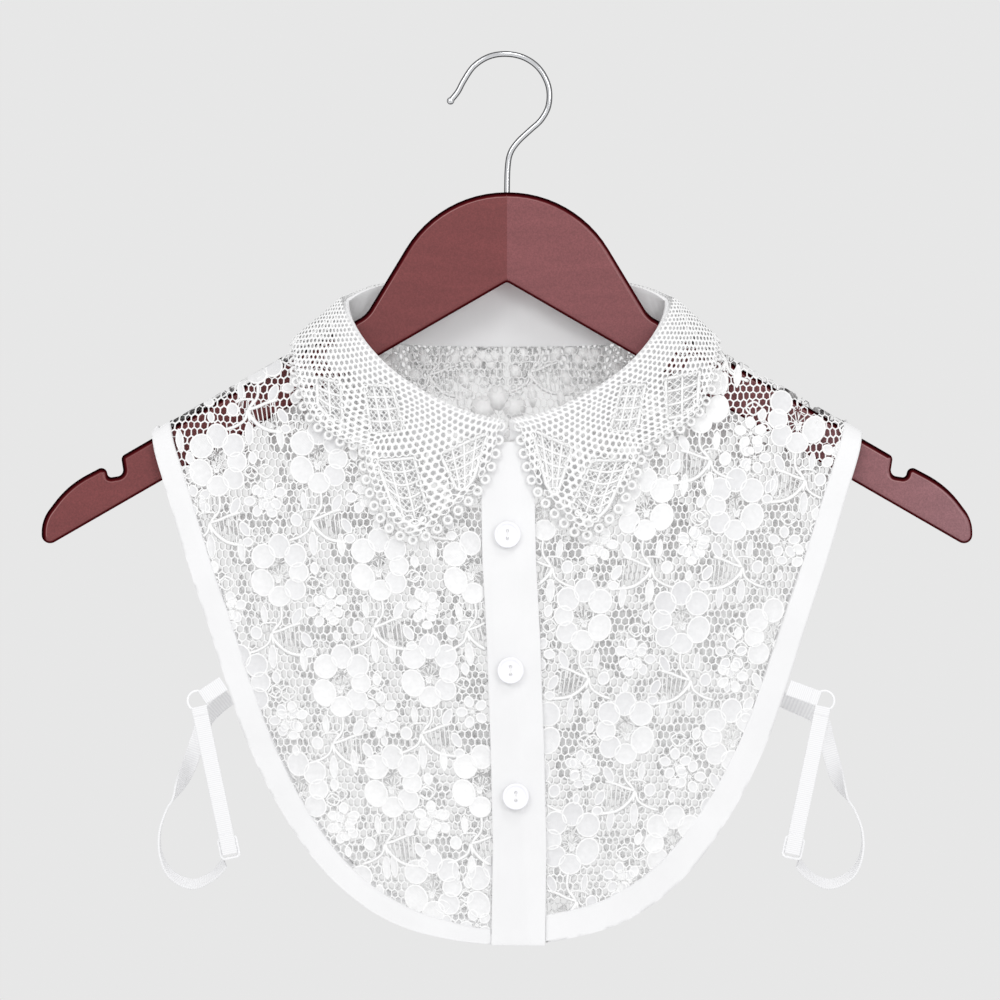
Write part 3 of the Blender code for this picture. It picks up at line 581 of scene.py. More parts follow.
@dataclass(frozen=True)
class LacqueredWood(ShaderBase):
    """Mahogany-stained hardwood under satin lacquer: dull red brown with fine pores, painted shade that
    darkens its round edges, a painted highlight along the arris and a painted sheen on the right arm.
    """

    left_colour: str = "#733839"
    right_colour: str = "#7E484B"
    painted_arm_sheen_colour: str = "#8A5F64"
    rim_shade_colour: str = "#551116"
    top_edge_shade_colour: str = "#1A0406"
    low_edge_shade_colour: str = "#420C10"
    arris_highlight_colour: str = "#B88E8C"
    pore: float = 0.7
    coat: float = 0.12
    gloss: float = 0.3

    def build(self) -> bpy.types.Material:
        """The material, which reads Object coordinates and the halves' edge attributes."""
        material, tree, shader = self.start()
        shader.inputs["Coat Roughness"].default_value = 0.22
        place = add_node(tree, "ShaderNodeTexCoord").outputs["Object"]
        above = add_node(tree, "ShaderNodeAttribute", attribute_name="above").outputs["Fac"]
        bend = add_node(tree, "ShaderNodeAttribute", attribute_name="bend").outputs["Fac"]
        along = {"Vector": place, "Rotation": (0.0, math.radians(30.0), 0.0), "Scale": (1, 1, 7)}
        along = add_node(tree, "ShaderNodeMapping", along).outputs["Vector"]
        grain = {"Vector": along, "Scale": 26.0, "Detail": 6.0}
        pores = {"Vector": place, "Scale": 1.0 / (self.pore * MM), "Detail": 3.0, "Roughness": 0.7}
        highlight_noise = {"Vector": place, "Scale": 24.0, "Detail": 2.0}
        grain, pores, highlight_noise = (
            add_node(tree, "ShaderNodeTexNoise", noise).outputs["Fac"] for noise in (grain, pores, highlight_noise)
        )

        # The two halves come from two boards, and the right one is paler. Towards its tip the right arm is
        # painted paler still, a painted sheen of the lacquer.
        body = linear(self.left_colour)
        across = add_node(tree, "ShaderNodeSeparateXYZ", {"Vector": place}).outputs["X"]
        for colour, low, high in ((self.right_colour, -0.1, 0.1), (self.painted_arm_sheen_colour, 110.0, 215.0)):
            board = {"Value": across, "From Min": low * MM, "From Max": high * MM}
            board = add_node(tree, "ShaderNodeMapRange", board).outputs["Result"]
            ends = {"Factor": board, "6": body, "7": linear(colour)}
            body = add_node(tree, "ShaderNodeMix", ends, data_type="RGBA").outputs[2]
        for pattern, low, high in ((grain, 0.95, 1.05), (pores, 0.84, 1.16)):
            shade = {"Value": pattern, "From Min": 0.35, "From Max": 0.65, "To Min": low, "To Max": high}
            shade = add_node(tree, "ShaderNodeMapRange", shade).outputs["Result"]
            ends = {"Factor": 1.0, "6": body, "7": shade}
            body = add_node(tree, "ShaderNodeMix", ends, data_type="RGBA", blend_type="MULTIPLY").outputs[2]

        # Painted shade darkens the round edges: it starts near the arris on the upper edges and further round
        # on the lower ones.
        deep, rise, fade = (
            add_node(
                tree, "ShaderNodeMapRange", {"Value": bend, "From Min": low, "From Max": high}
            ).outputs["Result"]
            for low, high in ((0.12, 0.5), (0.005, 0.03), (0.1, 0.05))
        )
        start = {"Value": above, "To Min": 0.34, "To Max": 0.05}
        start = add_node(tree, "ShaderNodeMapRange", start).outputs["Result"]
        end = add_node(tree, "ShaderNodeMath", {"0": start, "1": 0.14}, operation="ADD").outputs[0]
        rim = {"Value": bend, "From Min": start, "From Max": end}
        rim = add_node(tree, "ShaderNodeMapRange", rim).outputs["Result"]

        # A painted highlight runs along the arris, broken up by noise, and the round edge is painted dark as
        # painted shade and made dull.
        highlight_breakup = {"Value": highlight_noise, "From Min": 0.35, "From Max": 0.65, "To Min": 0.1, "To Max": 0.75}
        highlight_breakup = add_node(tree, "ShaderNodeMapRange", highlight_breakup).outputs["Result"]
        arris_highlight = rise
        for part in (fade, above, highlight_breakup):
            arris_highlight = add_node(tree, "ShaderNodeMath", {"0": arris_highlight, "1": part}, operation="MULTIPLY").outputs[0]
        outer = {"Factor": above, "6": linear(self.low_edge_shade_colour), "7": linear(self.top_edge_shade_colour)}
        outer = add_node(tree, "ShaderNodeMix", outer, data_type="RGBA").outputs[2]
        edge = {"Factor": deep, "6": linear(self.rim_shade_colour), "7": outer}
        edge = add_node(tree, "ShaderNodeMix", edge, data_type="RGBA").outputs[2]
        for factor, colour in ((rim, edge), (arris_highlight, linear(self.arris_highlight_colour))):
            ends = {"Factor": factor, "6": body, "7": colour}
            body = add_node(tree, "ShaderNodeMix", ends, data_type="RGBA").outputs[2]
        for socket, most in (("Coat Weight", self.coat), ("Specular IOR Level", self.gloss)):
            dull = add_node(tree, "ShaderNodeMapRange", {"Value": rim, "To Min": most, "To Max": 0.0})
            tree.links.new(dull.outputs["Result"], shader.inputs[socket])
        self.lay_on(tree, shader, body, pores, 0.06, 0.12)
        return material


@dataclass(frozen=True)
class ChromedWire(ShaderBase):
    """Chrome-plated steel wire, drawn and polished: a bright mirror, painted darker towards its sides as a
    painted reflection.
    """

    colour: str = "#E2E3E5"
    line_colour: str = "#CDCED1"
    painted_reflection_colour: str = "#202022"
    painted_reflection_depths: Flat = (0.9, 1.25)

    def build(self) -> bpy.types.Material:
        """The material, with faint unevenness on Object coordinates."""
        material, tree, shader = self.start()
        shader.inputs["Metallic"].default_value = 1.0
        place = add_node(tree, "ShaderNodeTexCoord").outputs["Object"]
        fine = {"Vector": place, "Scale": 140.0, "Detail": 2.0}
        lines = add_node(tree, "ShaderNodeTexNoise", fine).outputs["Fac"]
        ends = {"Factor": lines, "6": linear(self.line_colour), "7": linear(self.colour)}
        colour = add_node(tree, "ShaderNodeMix", ends, data_type="RGBA").outputs[2]
        # The thin wire's sides are painted dark by depth, a painted reflection of a dark room that a plain
        # pale studio can't show.
        depth = add_node(tree, "ShaderNodeSeparateXYZ", {"Vector": place}).outputs["Y"]
        depth = add_node(tree, "ShaderNodeMath", {"0": depth}, operation="ABSOLUTE").outputs[0]
        low, high = self.painted_reflection_depths
        facing = {"Value": depth, "From Min": low * MM, "From Max": high * MM}
        facing = add_node(tree, "ShaderNodeMapRange", facing).outputs["Result"]
        ends = {"Factor": facing, "6": linear(self.painted_reflection_colour), "7": colour}
        colour = add_node(tree, "ShaderNodeMix", ends, data_type="RGBA").outputs[2]
        rough = {"Value": lines, "To Min": self.roughness, "To Max": self.roughness + 0.1}
        rough = add_node(tree, "ShaderNodeMapRange", rough).outputs["Result"]
        tree.links.new(colour, shader.inputs["Base Color"])
        tree.links.new(rough, shader.inputs["Roughness"])
        return material


@dataclass(frozen=True)
class StudioPaper(ShaderBase):
    """Pale background paper, matt and plain."""

    colour: str = "#F2F2F2"
    mottle_colour: str = "#EFEFEF"

    def build(self) -> bpy.types.Material:
        """The material, one pale colour with the faintest mottling."""
        material, tree, shader = self.start()
        place = add_node(tree, "ShaderNodeTexCoord").outputs["Object"]
        mottle = add_node(tree, "ShaderNodeTexNoise", {"Vector": place, "Scale": 3.0}).outputs["Fac"]
        ends = {"Factor": mottle, "6": linear(self.mottle_colour), "7": linear(self.colour)}
        colour = add_node(tree, "ShaderNodeMix", ends, data_type="RGBA").outputs[2]
        tree.links.new(colour, shader.inputs["Base Color"])
        return material


class Finish(Enum):
    """Every finish of the object, by its material slot in the record."""

    FLORAL_LACE = LaceYarn("machine stitched cotton lace", "floral_lace", 0.75)
    GUIPURE_LACE = LaceYarn("corded guipure lace", "guipure_lace", 0.7, fill_colour="#F2F2F3", stitch=0.45)
    COTTON = CottonCloth("bleached cotton poplin", "white_cotton", 0.85)
    ELASTIC = RibbedElastic("woven ribbed elastic", "white_elastic", 0.6)
    # Polyester button resin, moulded and tumbled: milky white with a soft gloss.
    RESIN = CloudyCoat("moulded polyester resin", "white_resin", 0.3, coat=0.3)
    # Steel wire with a nylon coat: white, smooth and a little glossy, with faint dips.
    COATED_METAL = CloudyCoat(
        "nylon coated steel", "white_coated_metal", 0.35, 1.5, "#FBFBFC", "#F0F0F2", 260.0, (0.1, 0.25)
    )
    WOOD = LacqueredWood("lacquered mahogany", "lacquered_mahogany", 0.4)
    CHROME = ChromedWire("chromed steel wire", "chromed_wire", 0.12)
    PAPER = StudioPaper("pale studio paper", "", 0.9)

    @property
    def material(self) -> bpy.types.Material:
        """The finish's material, made once."""
        return bpy.data.materials.get(self.value.name) or self.value.build()


# Making pieces


def dress(item: bpy.types.Object, finish: Finish, *nodes: str) -> bpy.types.Object:
    """Gives a piece its finish and its place on the body, and hides the solids it stands for.

    Args:
        item: the new piece.
        finish: what it is made of.
        *nodes: the CAD nodes it replaces.

    Returns:
        The same piece.
    """
    item.data.materials.clear()
    item.data.materials.append(finish.material)
    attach(item, BODY)
    if nodes:
        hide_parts(*nodes)
    return item


class SewnMesh:
    """Collects the points and faces of one sewn piece in millimetres."""

    def __init__(self, lay: Lay, flip: bool = False) -> None:
        """Starts an empty piece.

        Args:
            lay: turns flat across, up and proud to a place on the piece's own surface.
            flip: True where the surface is seen from the other side.
        """
        self.lay = lay
        self.flip = flip
        self.points: list[Vector] = []
        self.faces: list[tuple[int, ...]] = []
        self.threads: list[Flat] = []
        self.tones: list[float] = []

    def point(self, x: float, z: float, proud: float, tone: float = 1.0, thread: Flat | None = None) -> int:
        """Adds a point over the surface and gives its number."""
        self.points.append(self.lay(x, z, proud))
        self.threads.append(thread or (x, z))
        self.tones.append(tone)
        return len(self.points) - 1

    def face(self, *corners: int) -> None:
        """Adds a face, anticlockwise as seen from outside the cloth."""
        self.faces.append(corners[::-1] if self.flip else corners)

    def layered(
        self,
        upper: Sequence[tuple[float, float, float]],
        lower: Sequence[Flat],
        faces: Sequence[tuple[int, ...]],
        low: float,
        tone: float,
    ) -> None:
        """Adds a net with its wall.

        Args:
            upper: across, up and proud of its top's points.
            lower: across and up of its underside's points, in the same order.
            faces: anticlockwise faces by point number.
            low: how proud its underside is.
            tone: 1 for cord and 0 for filling.
        """
        tops = [self.point(x, z, proud, tone) for x, z, proud in upper]
        lows = [self.point(x, z, low, tone) for x, z in lower]
        edges: dict[tuple[int, int], int] = {}
        for corners in faces:
            self.face(*(tops[i] for i in corners))
            self.face(*(lows[i] for i in reversed(corners)))
            for a, b in zip(corners, corners[1:] + corners[:1]):
                edges[(a, b)] = edges.get((a, b), 0) + 1
        for a, b in edges:
            if (b, a) not in edges:
                self.face(tops[b], tops[a], lows[a], lows[b])

    def patch(
        self, outline: Sequence[Flat], fill: float, rim: float, low: float, tone: float, cord: float
    ) -> None:
        """Adds a stitched shape with a raised cord round a lower filling.

        Args:
            outline: its edge, anticlockwise.
            fill: how proud the filling is.
            rim: how proud the cord round it is.
            low: how proud its underside is.
            tone: the filling's tone.
            cord: width of the cord round it.
        """
        centre_x = sum(p[0] for p in outline) / len(outline)
        centre_z = sum(p[1] for p in outline) / len(outline)
        reach = min(math.hypot(x - centre_x, z - centre_z) for x, z in outline)
        cord = min(cord, reach * 0.6)
        rings = []
        for inset, proud, shade in (
            (cord * 1.1, fill, tone),
            (cord * 0.7, rim, 1.0),
            (cord * 0.2, rim, 1.0),
            (0.0, low + 0.1, 1.0),
        ):
            ring = []
            for x, z in outline:
                away = math.hypot(x - centre_x, z - centre_z)
                share = 1.0 - inset / away
                at = (centre_x + (x - centre_x) * share, centre_z + (z - centre_z) * share)
                ring.append(self.point(at[0], at[1], proud, shade))
            rings.append(ring)
        middle = self.point(centre_x, centre_z, fill + 0.1, tone)
        under = self.point(centre_x, centre_z, low, 1.0)
        count = len(outline)
        for i in range(count):
            j = (i + 1) % count
            self.face(middle, rings[0][i], rings[0][j])
            for inner, outer in zip(rings, rings[1:]):
                self.face(inner[i], outer[i], outer[j], inner[j])
            self.face(under, rings[-1][j], rings[-1][i])

    def cord(self, line: Sequence[Flat], width: float, low: float, high: float, closed: bool = False) -> None:
        """Adds a stitched cord along a flat line.

        Args:
            line: its middle.
            width: its width.
            low: how proud its underside is.
            high: how proud its top is.
            closed: True for a ring.
        """
        count = len(line)
        rows = []
        middle = (low + high) / 2
        for i, (x, z) in enumerate(line):
            before = line[i - 1] if closed or i else line[i]
            after = line[(i + 1) % count] if closed or i < count - 1 else line[i]
            dx, dz = after[0] - before[0], after[1] - before[1]
            size = math.hypot(dx, dz) or 1.0
            nx, nz = -dz / size * width / 2, dx / size * width / 2
            rows.append(
                (
                    self.point(x - nx, z - nz, middle),
                    self.point(x, z, high),
                    self.point(x + nx, z + nz, middle),
                    self.point(x, z, low),
                )
            )
        pairs = list(zip(rows, rows[1:]))
        if closed:
            pairs.append((rows[-1], rows[0]))
        for here, there in pairs:
            for k in range(4):
                m = (k + 1) % 4
                self.face(here[k], there[k], there[m], here[m])
        if not closed:
            self.face(*rows[0])
            self.face(*reversed(rows[-1]))

    def make(self, name: str, finish: Finish, *nodes: str) -> bpy.types.Object:
        """Makes the piece's object with its thread UV and tone.

        Args:
            name: the piece's name.
            finish: what it is made of.
            *nodes: the CAD nodes it stands for.

        Returns:
            The dressed object.
        """
        mesh = bpy.data.meshes.new(name)
        mesh.from_pydata([p * MM for p in self.points], [], self.faces)
        corner_points = [0] * len(mesh.loops)
        mesh.loops.foreach_get("vertex_index", corner_points)
        uv = mesh.uv_layers.new(name="thread")
        flat = [value * MM for i in corner_points for value in self.threads[i]]
        uv.data.foreach_set("uv", flat)
        tone = mesh.attributes.new("tone", "FLOAT", "POINT")
        tone.data.foreach_set("value", self.tones)
        mesh.shade_smooth()
        mesh.update()
        item = bpy.data.objects.new(name, mesh)
        bpy.context.scene.collection.objects.link(item)
        return dress(item, finish, *nodes)


def cloth_wall(
    name: str,
    finish: Finish,
    place: Callable[[float, float], Vector],
    across: int,
    down: int,
    thickness: float,
    nodes: Sequence[str],
    size: Flat,
    inward: float = -1.0,
) -> bpy.types.Object:
    """A cloth wall of even thickness with rounded edges.

    Args:
        name: the piece's name.
        finish: what it is made of.
        place: its outer face as a function of u and v.
        across: steps in u.
        down: steps in v.
        thickness: of the wall.
        nodes: the CAD nodes it stands for.
        size: its real width and length, for its UV.
        inward: -1 for a wall inside its outer face and 0 for one about its middle.

    Returns:
        The dressed object.
    """
    grid = [[place(i / across, j / down) for i in range(across + 1)] for j in range(down + 1)]
    mesh = SewnMesh(lambda x, z, proud: Vector((x, z, proud)))
    for j, row in enumerate(grid):
        for i, at in enumerate(row):
            mesh.point(at.x, at.y, at.z, 1.0, (i / across * size[0], j / down * size[1]))
    outward = 0.0
    for j in range(down):
        for i in range(across):
            first = j * (across + 1) + i
            mesh.face(first, first + 1, first + across + 2, first + across + 1)
            normal = (grid[j][i + 1] - grid[j][i]).cross(grid[j + 1][i] - grid[j][i])
            outward += normal.dot(Vector((grid[j][i].x * 0.2, grid[j][i].y, 0.0)))
    if outward < 0:
        mesh.faces = [corners[::-1] for corners in mesh.faces]
    item = mesh.make(name, finish, *nodes)
    wall = item.modifiers.new("wall", "SOLIDIFY")
    wall.thickness = thickness * MM
    wall.offset = inward
    wall.use_quality_normals = True
    edge = item.modifiers.new("turned edge", "BEVEL")
    edge.width = min(0.35, thickness * 0.3) * MM
    edge.segments = 2
    edge.limit_method = "ANGLE"
    return item


def settle(item: bpy.types.Object) -> None:
    """Applies a piece's place and turn, so that its object sits at the origin."""
    bpy.ops.object.select_all(action="DESELECT")
    item.select_set(True)
    bpy.context.view_layer.objects.active = item
    bpy.ops.object.transform_apply(location=True, rotation=True, scale=True)
    item.select_set(False)


# Floral lace


class Motif(NamedTuple):
    """A stitched shape: middle, half width, half length, turn in degrees, how pointed, and tone."""

    x: float
    z: float
    half_width: float
    half_length: float
    turn: float = 0.0
    pointed: float = 0.0
    tone: float = 0.5

    def outline(self, sides: int = 14) -> list[Flat]:
        """The shape's edge, anticlockwise."""
        turn = math.radians(self.turn)
        points = []
        for step in range(sides):
            angle = 2 * math.pi * step / sides
            across = self.half_width * math.cos(angle) * (1 - self.pointed * math.sin(angle) ** 2 * 0.55)
            along = self.half_length * math.sin(angle)
            points.append(
                (
                    self.x + across * math.cos(turn) - along * math.sin(turn),
                    self.z + across * math.sin(turn) + along * math.cos(turn),
                )
            )
        return points

    def covers(self, x: float, z: float, inset: float) -> bool:
        """Whether a point lies inside the shape by at least an inset."""
        turn = math.radians(-self.turn)
        dx, dz = x - self.x, z - self.z
        across = (dx * math.cos(turn) - dz * math.sin(turn)) / max(self.half_width - inset, 0.1)
        along = (dx * math.sin(turn) + dz * math.cos(turn)) / max(self.half_length - inset, 0.1)
        return across * across + along * along < 1.0


class Stem(NamedTuple):
    """A corded line: its points and its width."""

    points: tuple[Flat, ...]
    width: float


PETALS = (
    Motif(-7.7, 8.0, 6.0, 6.2, 10.0, tone=0.6),
    Motif(-0.2, 12.9, 5.4, 6.2, 14.0, tone=0.4),
    Motif(7.6, 8.4, 5.6, 6.0, -16.0, tone=0.45),
    Motif(9.3, 0.4, 5.0, 5.2, 0.0, tone=0.6),
    Motif(7.6, -7.4, 5.3, 5.8, 34.0, tone=0.45),
    Motif(0.2, -11.0, 5.7, 5.3, 0.0, tone=0.65),
    Motif(-7.9, -4.6, 5.7, 7.0, 22.0, tone=0.7),
)
FLOWER_HOLES = (Motif(0.3, -1.6, 4.0, 4.4), Motif(-0.2, 4.4, 2.4, 4.0))
SEED = (Motif(-0.5, -3.6, 1.5, 1.4), Motif(-1.3, -1.9, 0.9, 1.3, 40.0), Motif(0.6, -1.7, 0.9, 1.4, -30.0))
LEAVES = (
    Motif(-7.0, -19.8, 1.9, 4.8, 6.0, 0.8, 0.6),
    Motif(8.6, -20.6, 2.5, 4.6, -24.0, 0.5, 0.35),
    Motif(-10.8, -28.6, 3.1, 3.5, 20.0, 0.2, 0.45),
    Motif(-2.8, -40.0, 2.3, 5.9, 4.0, 0.5, 0.6),
    Motif(13.2, -31.6, 2.5, 4.2, 30.0, 0.4, 0.3),
    Motif(14.6, -37.8, 2.9, 2.5, 0.0, 0.3, 0.45),
    Motif(-18.2, 10.8, 2.1, 5.8, 6.0, 0.8, 0.6),
    Motif(16.8, 2.4, 2.3, 3.3, 10.0, 0.5, 0.6),
    Motif(-22.4, -25.2, 2.8, 2.3, 0.0, 0.1, 0.6),
    Motif(-21.2, -32.4, 1.9, 2.9, 10.0, 0.6, 0.5),
)
STEMS = (
    Stem(((0.7, -15.0), (1.2, -19.5), (0.4, -23.6), (-3.8, -28.7)), 1.5),
    Stem(((-3.8, -28.7), (1.0, -27.2), (5.6, -25.2), (10.4, -23.8)), 1.7),
    Stem(((-3.8, -28.7), (-2.2, -32.0), (1.8, -36.0), (6.4, -38.4), (13.6, -39.4)), 2.1),
    Stem(((-3.8, -28.7), (-5.0, -33.4), (-9.4, -36.6), (-14.6, -38.4)), 1.6),
    Stem(((-9.2, -25.4), (-7.0, -23.9), (-1.2, -24.0), (-3.4, -28.2)), 1.1),
    Stem(((-3.6, -29.0), (-2.6, -34.0)), 1.5),
    Stem(((-29.0, -4.2), (-25.6, -1.8), (-21.6, -4.6), (-25.0, -8.2), (-29.0, -6.0)), 1.0),
    Stem(((12.4, -4.6), (15.4, -1.6), (19.2, -4.2), (17.0, -7.4), (12.8, -5.4)), 1.0),
)
LADDERS = (
    ((-1.6, -28.6), (0.0, -33.4)),
    ((0.6, -27.8), (2.2, -35.8)),
    ((2.8, -27.0), (4.4, -37.0)),
    ((5.0, -26.0), (6.4, -38.0)),
    ((7.2, -25.2), (8.4, -38.6)),
    ((9.2, -25.0), (10.6, -38.8)),
    ((-7.6, -24.6), (-8.2, -27.6)),
    ((-5.8, -24.4), (-6.2, -28.0)),
    ((-4.0, -24.4), (-4.2, -28.0)),
)
LADDER_ZONES = (Motif(4.6, -31.6, 6.4, 3.6, -12.0), Motif(-5.4, -26.2, 3.2, 1.9))
BLOSSOMS = (
    (-23.4, -16.8, 0.0), (20.6, -18.0, 20.0),
)
BLOSSOM_PETALS = 5


class Bloom(NamedTuple):
    """Where one repeat of the lace stands: its flower's middle, its turn and its hand."""

    x: float
    z: float
    turn: float
    hand: float

    def place(self, x: float, z: float) -> Flat:
        """A point of the repeat on the cloth."""
        turn = math.radians(self.turn)
        x *= self.hand
        return (
            self.x + x * math.cos(turn) - z * math.sin(turn),
            self.z + x * math.sin(turn) + z * math.cos(turn),
        )

    def motif(self, shape: Motif) -> Motif:
        """A shape of the repeat on the cloth."""
        x, z = self.place(shape.x, shape.z)
        tone = clamp(shape.tone + 0.3 * wobble(self.x))
        return shape._replace(x=x, z=z, turn=shape.turn * self.hand + self.turn, tone=tone)


@dataclass
class CutRegion:
    """The flat outline of a lace panel, row by row, on the side away from the centre."""

    top: float
    bottom: float
    limits_at: Callable[[float, float], Flat]
    step: float = 0.5
    rows: dict[float, list[Flat]] = field(default_factory=dict)

    def limits(self, z: float, grow: float) -> Flat:
        """The inner and outer distance from the centre at a height.

        Args:
            z: the height.
            grow: how far the cut goes under its neighbours.

        Returns:
            The two distances, the first larger than the second where there is no cloth.
        """
        if grow not in self.rows:
            count = int((self.top - self.bottom) / self.step) + 2
            self.rows[grow] = [self.limits_at(self.bottom + i * self.step, grow) for i in range(count)]
        index = int((z - self.bottom) / self.step + 0.5)
        if 0 <= index < len(self.rows[grow]):
            return self.rows[grow][index]
        return (1.0, 0.0)

    def holds(self, away: float, z: float, grow: float) -> bool:
        """Whether a point lies in the cut."""
        inner, outer = self.limits(z, grow)
        return inner < away < outer


@dataclass(frozen=True)
class FloralLace:
    """Sizes of the floral lace, whose repeat is a large flower, a forked stem and two blossoms."""

    cell_width: float = 3.05
    cell_row: float = 3.6
    cell_slant: float = 1.05
    thread: float = 0.6
    net_low: float = -0.5
    net_high: float = -0.12
    fill: float = 0.0
    rim: float = 0.22
    under: float = -0.42
    cord: float = 0.85
    uneven: float = 1.0
    round_off: float = 0.4

    def shapes(self, blooms: Sequence[Bloom]) -> tuple[list[Motif], list[Motif]]:
        """All stitched shapes of the blooms, and the openings that keep the net away.

        Args:
            blooms: the repeats.

        Returns:
            The shapes and the openings.
        """
        filled, open_zones = [], []
        for bloom in blooms:
            filled += [bloom.motif(shape) for shape in PETALS + SEED + LEAVES]
            open_zones += [bloom.motif(zone) for zone in FLOWER_HOLES + LADDER_ZONES]
            for x, z, turn in BLOSSOMS:
                open_zones.append(bloom.motif(Motif(x, z, 2.9, 2.9)))
                for step in range(BLOSSOM_PETALS):
                    angle = math.radians(turn + 90 + 360 * step / BLOSSOM_PETALS)
                    px, pz = x + 5.1 * math.cos(angle), z + 5.1 * math.sin(angle)
                    petal = Motif(px, pz, 2.6, 3.1, math.degrees(angle) - 90, 0.2, 0.55)
                    filled.append(bloom.motif(petal))
                filled.append(bloom.motif(Motif(x, z, 1.0, 1.0)))
        return filled, open_zones

    def lines(self, blooms: Sequence[Bloom]) -> list[tuple[list[Flat], float]]:
        """All corded lines of the blooms with their widths."""
        lines = []
        for bloom in blooms:
            for stem in STEMS:
                points = [(x, 0.0, z) for x, z in stem.points]
                smooth = curve_through(points, 4)
                lines.append(([bloom.place(p.x, p.z) for p in smooth], stem.width))
            for start, end in LADDERS:
                lines.append(([bloom.place(*start), bloom.place(*end)], 0.62))
            for x, z, reach, count in ((0.2, -1.6, 5.0, 11), (-0.2, 4.6, 4.4, 6)):
                for step in range(count):
                    angle = 2 * math.pi * (step + 0.4) / count
                    ends = [
                        (x + r * math.cos(angle) * w, z + r * math.sin(angle))
                        for r, w in ((0.9, 1.0), (reach, 0.9))
                    ]
                    lines.append(([bloom.place(*p) for p in ends], 0.55))
            for x, z, turn in BLOSSOMS:
                for step in range(8):
                    angle = math.radians(turn + 45 * step)
                    ends = [(x + r * math.cos(angle), z + r * math.sin(angle)) for r in (0.7, 3.4)]
                    lines.append(([bloom.place(*p) for p in ends], 0.5))
        return lines

    def net(
        self, mesh: SewnMesh, keep: Callable[[float, float], bool], span: tuple[float, float, float, float]
    ) -> None:
        """Lays the net's cells where the panel keeps them.

        Args:
            mesh: the piece it goes into.
            keep: whether a cell with this middle stays.
            span: the least and greatest x, and the least and greatest z.
        """
        low_x, high_x, low_z, high_z = span
        w, r, a, t = self.cell_width, self.cell_row, self.cell_slant, self.thread
        height = r + a
        corners = (
            (0.0, height / 2),
            (-w / 2, r / 2 - a / 2),
            (-w / 2, -r / 2 + a / 2),
            (0.0, -height / 2),
            (w / 2, -r / 2 + a / 2),
            (w / 2, r / 2 - a / 2),
        )
        upper: list[tuple[float, float, float]] = []
        lower: list[Flat] = []
        known: dict[tuple[int, int], int] = {}
        faces = []
        shoulder = self.net_high - self.round_off * (self.net_high - self.net_low)

        def warped(x: float, z: float) -> Flat:
            """A point of the net moved by the cloth's own unevenness."""
            lean = 0.42 * math.sin(z / 7.3 + x / 11.0) + 0.3 * math.sin(x / 2.3 + z / 3.1)
            rise = 0.34 * math.sin(x / 6.1 - z / 9.0) + 0.3 * math.sin(z / 1.9 + x / 2.7)
            return (x + lean * self.uneven, z + rise * self.uneven)

        for j in range(math.floor(low_z / r), math.ceil(high_z / r) + 1):
            for i in range(math.floor(low_x / w), math.ceil(high_x / w) + 1):
                x, z = (i + (j % 2) / 2) * w, j * r
                if not keep(x, z):
                    continue
                outer = []
                for cx, cz in corners:
                    key = (round((x + cx) * 40), round((z + cz) * 40))
                    if key not in known:
                        known[key] = len(upper)
                        lower.append(warped(x + cx, z + cz))
                        upper.append((*lower[-1], self.net_high))
                    outer.append(known[key])
                inner = []
                for cx, cz in corners:
                    inner.append(len(upper))
                    for near, rows in ((0.85, upper), (1.15, lower)):
                        wide, tall = (w - t * near) / w, (height - 1.25 * t * near) / height
                        place = warped(x + cx * wide, z + cz * tall)
                        rows.append((*place, shoulder) if rows is upper else place)
                for k in range(6):
                    m = (k + 1) % 6
                    faces.append((outer[k], outer[m], inner[m], inner[k]))
        mesh.layered(upper, lower, faces, self.net_low, 0.95)

    def fill_panel(
        self,
        mesh: SewnMesh,
        blooms: Sequence[Bloom],
        holds: Callable[[float, float, float], bool],
        span: tuple[float, float, float, float],
    ) -> None:
        """Lays net, flowers and stems over one panel.

        Args:
            mesh: the piece they go into.
            blooms: the repeats that reach it.
            holds: whether a flat point lies in the panel, grown by a distance.
            span: the least and greatest x, and the least and greatest z.
        """
        filled, open_zones = self.shapes(blooms)
        buckets: dict[tuple[int, int], list[tuple[Motif, float]]] = {}
        for shape, inset in [(s, 1.7) for s in filled] + [(s, 0.4) for s in open_zones]:
            for i in range(int(shape.x // 12) - 1, int(shape.x // 12) + 2):
                for j in range(int(shape.z // 12) - 1, int(shape.z // 12) + 2):
                    buckets.setdefault((i, j), []).append((shape, inset))

        def keep(x: float, z: float) -> bool:
            """Whether a net cell stays: in the panel and clear of the stitched shapes."""
            if not holds(x, z, 1.8):
                return False
            near = buckets.get((int(x // 12), int(z // 12)), ())
            return not any(shape.covers(x, z, inset) for shape, inset in near)

        self.net(mesh, keep, span)
        for shape in filled:
            if holds(shape.x, shape.z, 1.0):
                big = max(shape.half_width, shape.half_length) > 2.4
                edge = shape.outline(14 if big else 9)
                mesh.patch(edge, self.fill, self.rim, self.under, shape.tone, self.cord)
        for line, width in self.lines(blooms):
            inside = [holds(x, z, 1.0) for x, z in line]
            run: list[Flat] = []
            for point, kept in zip(line + [(0.0, 0.0)], inside + [False]):
                if kept:
                    run.append(point)
                    continue
                if len(run) > 1:
                    mesh.cord(run, width, self.under, self.rim - 0.04)
                run = []


LACE = FloralLace()
PHOTO_SCALE = 0.4785


def from_photo(px: float, py: float) -> Flat:
    """A point of the front view, from its place in the 1000 wide frame."""
    return ((px - 507.0) * PHOTO_SCALE, (57.0 - py) * PHOTO_SCALE)


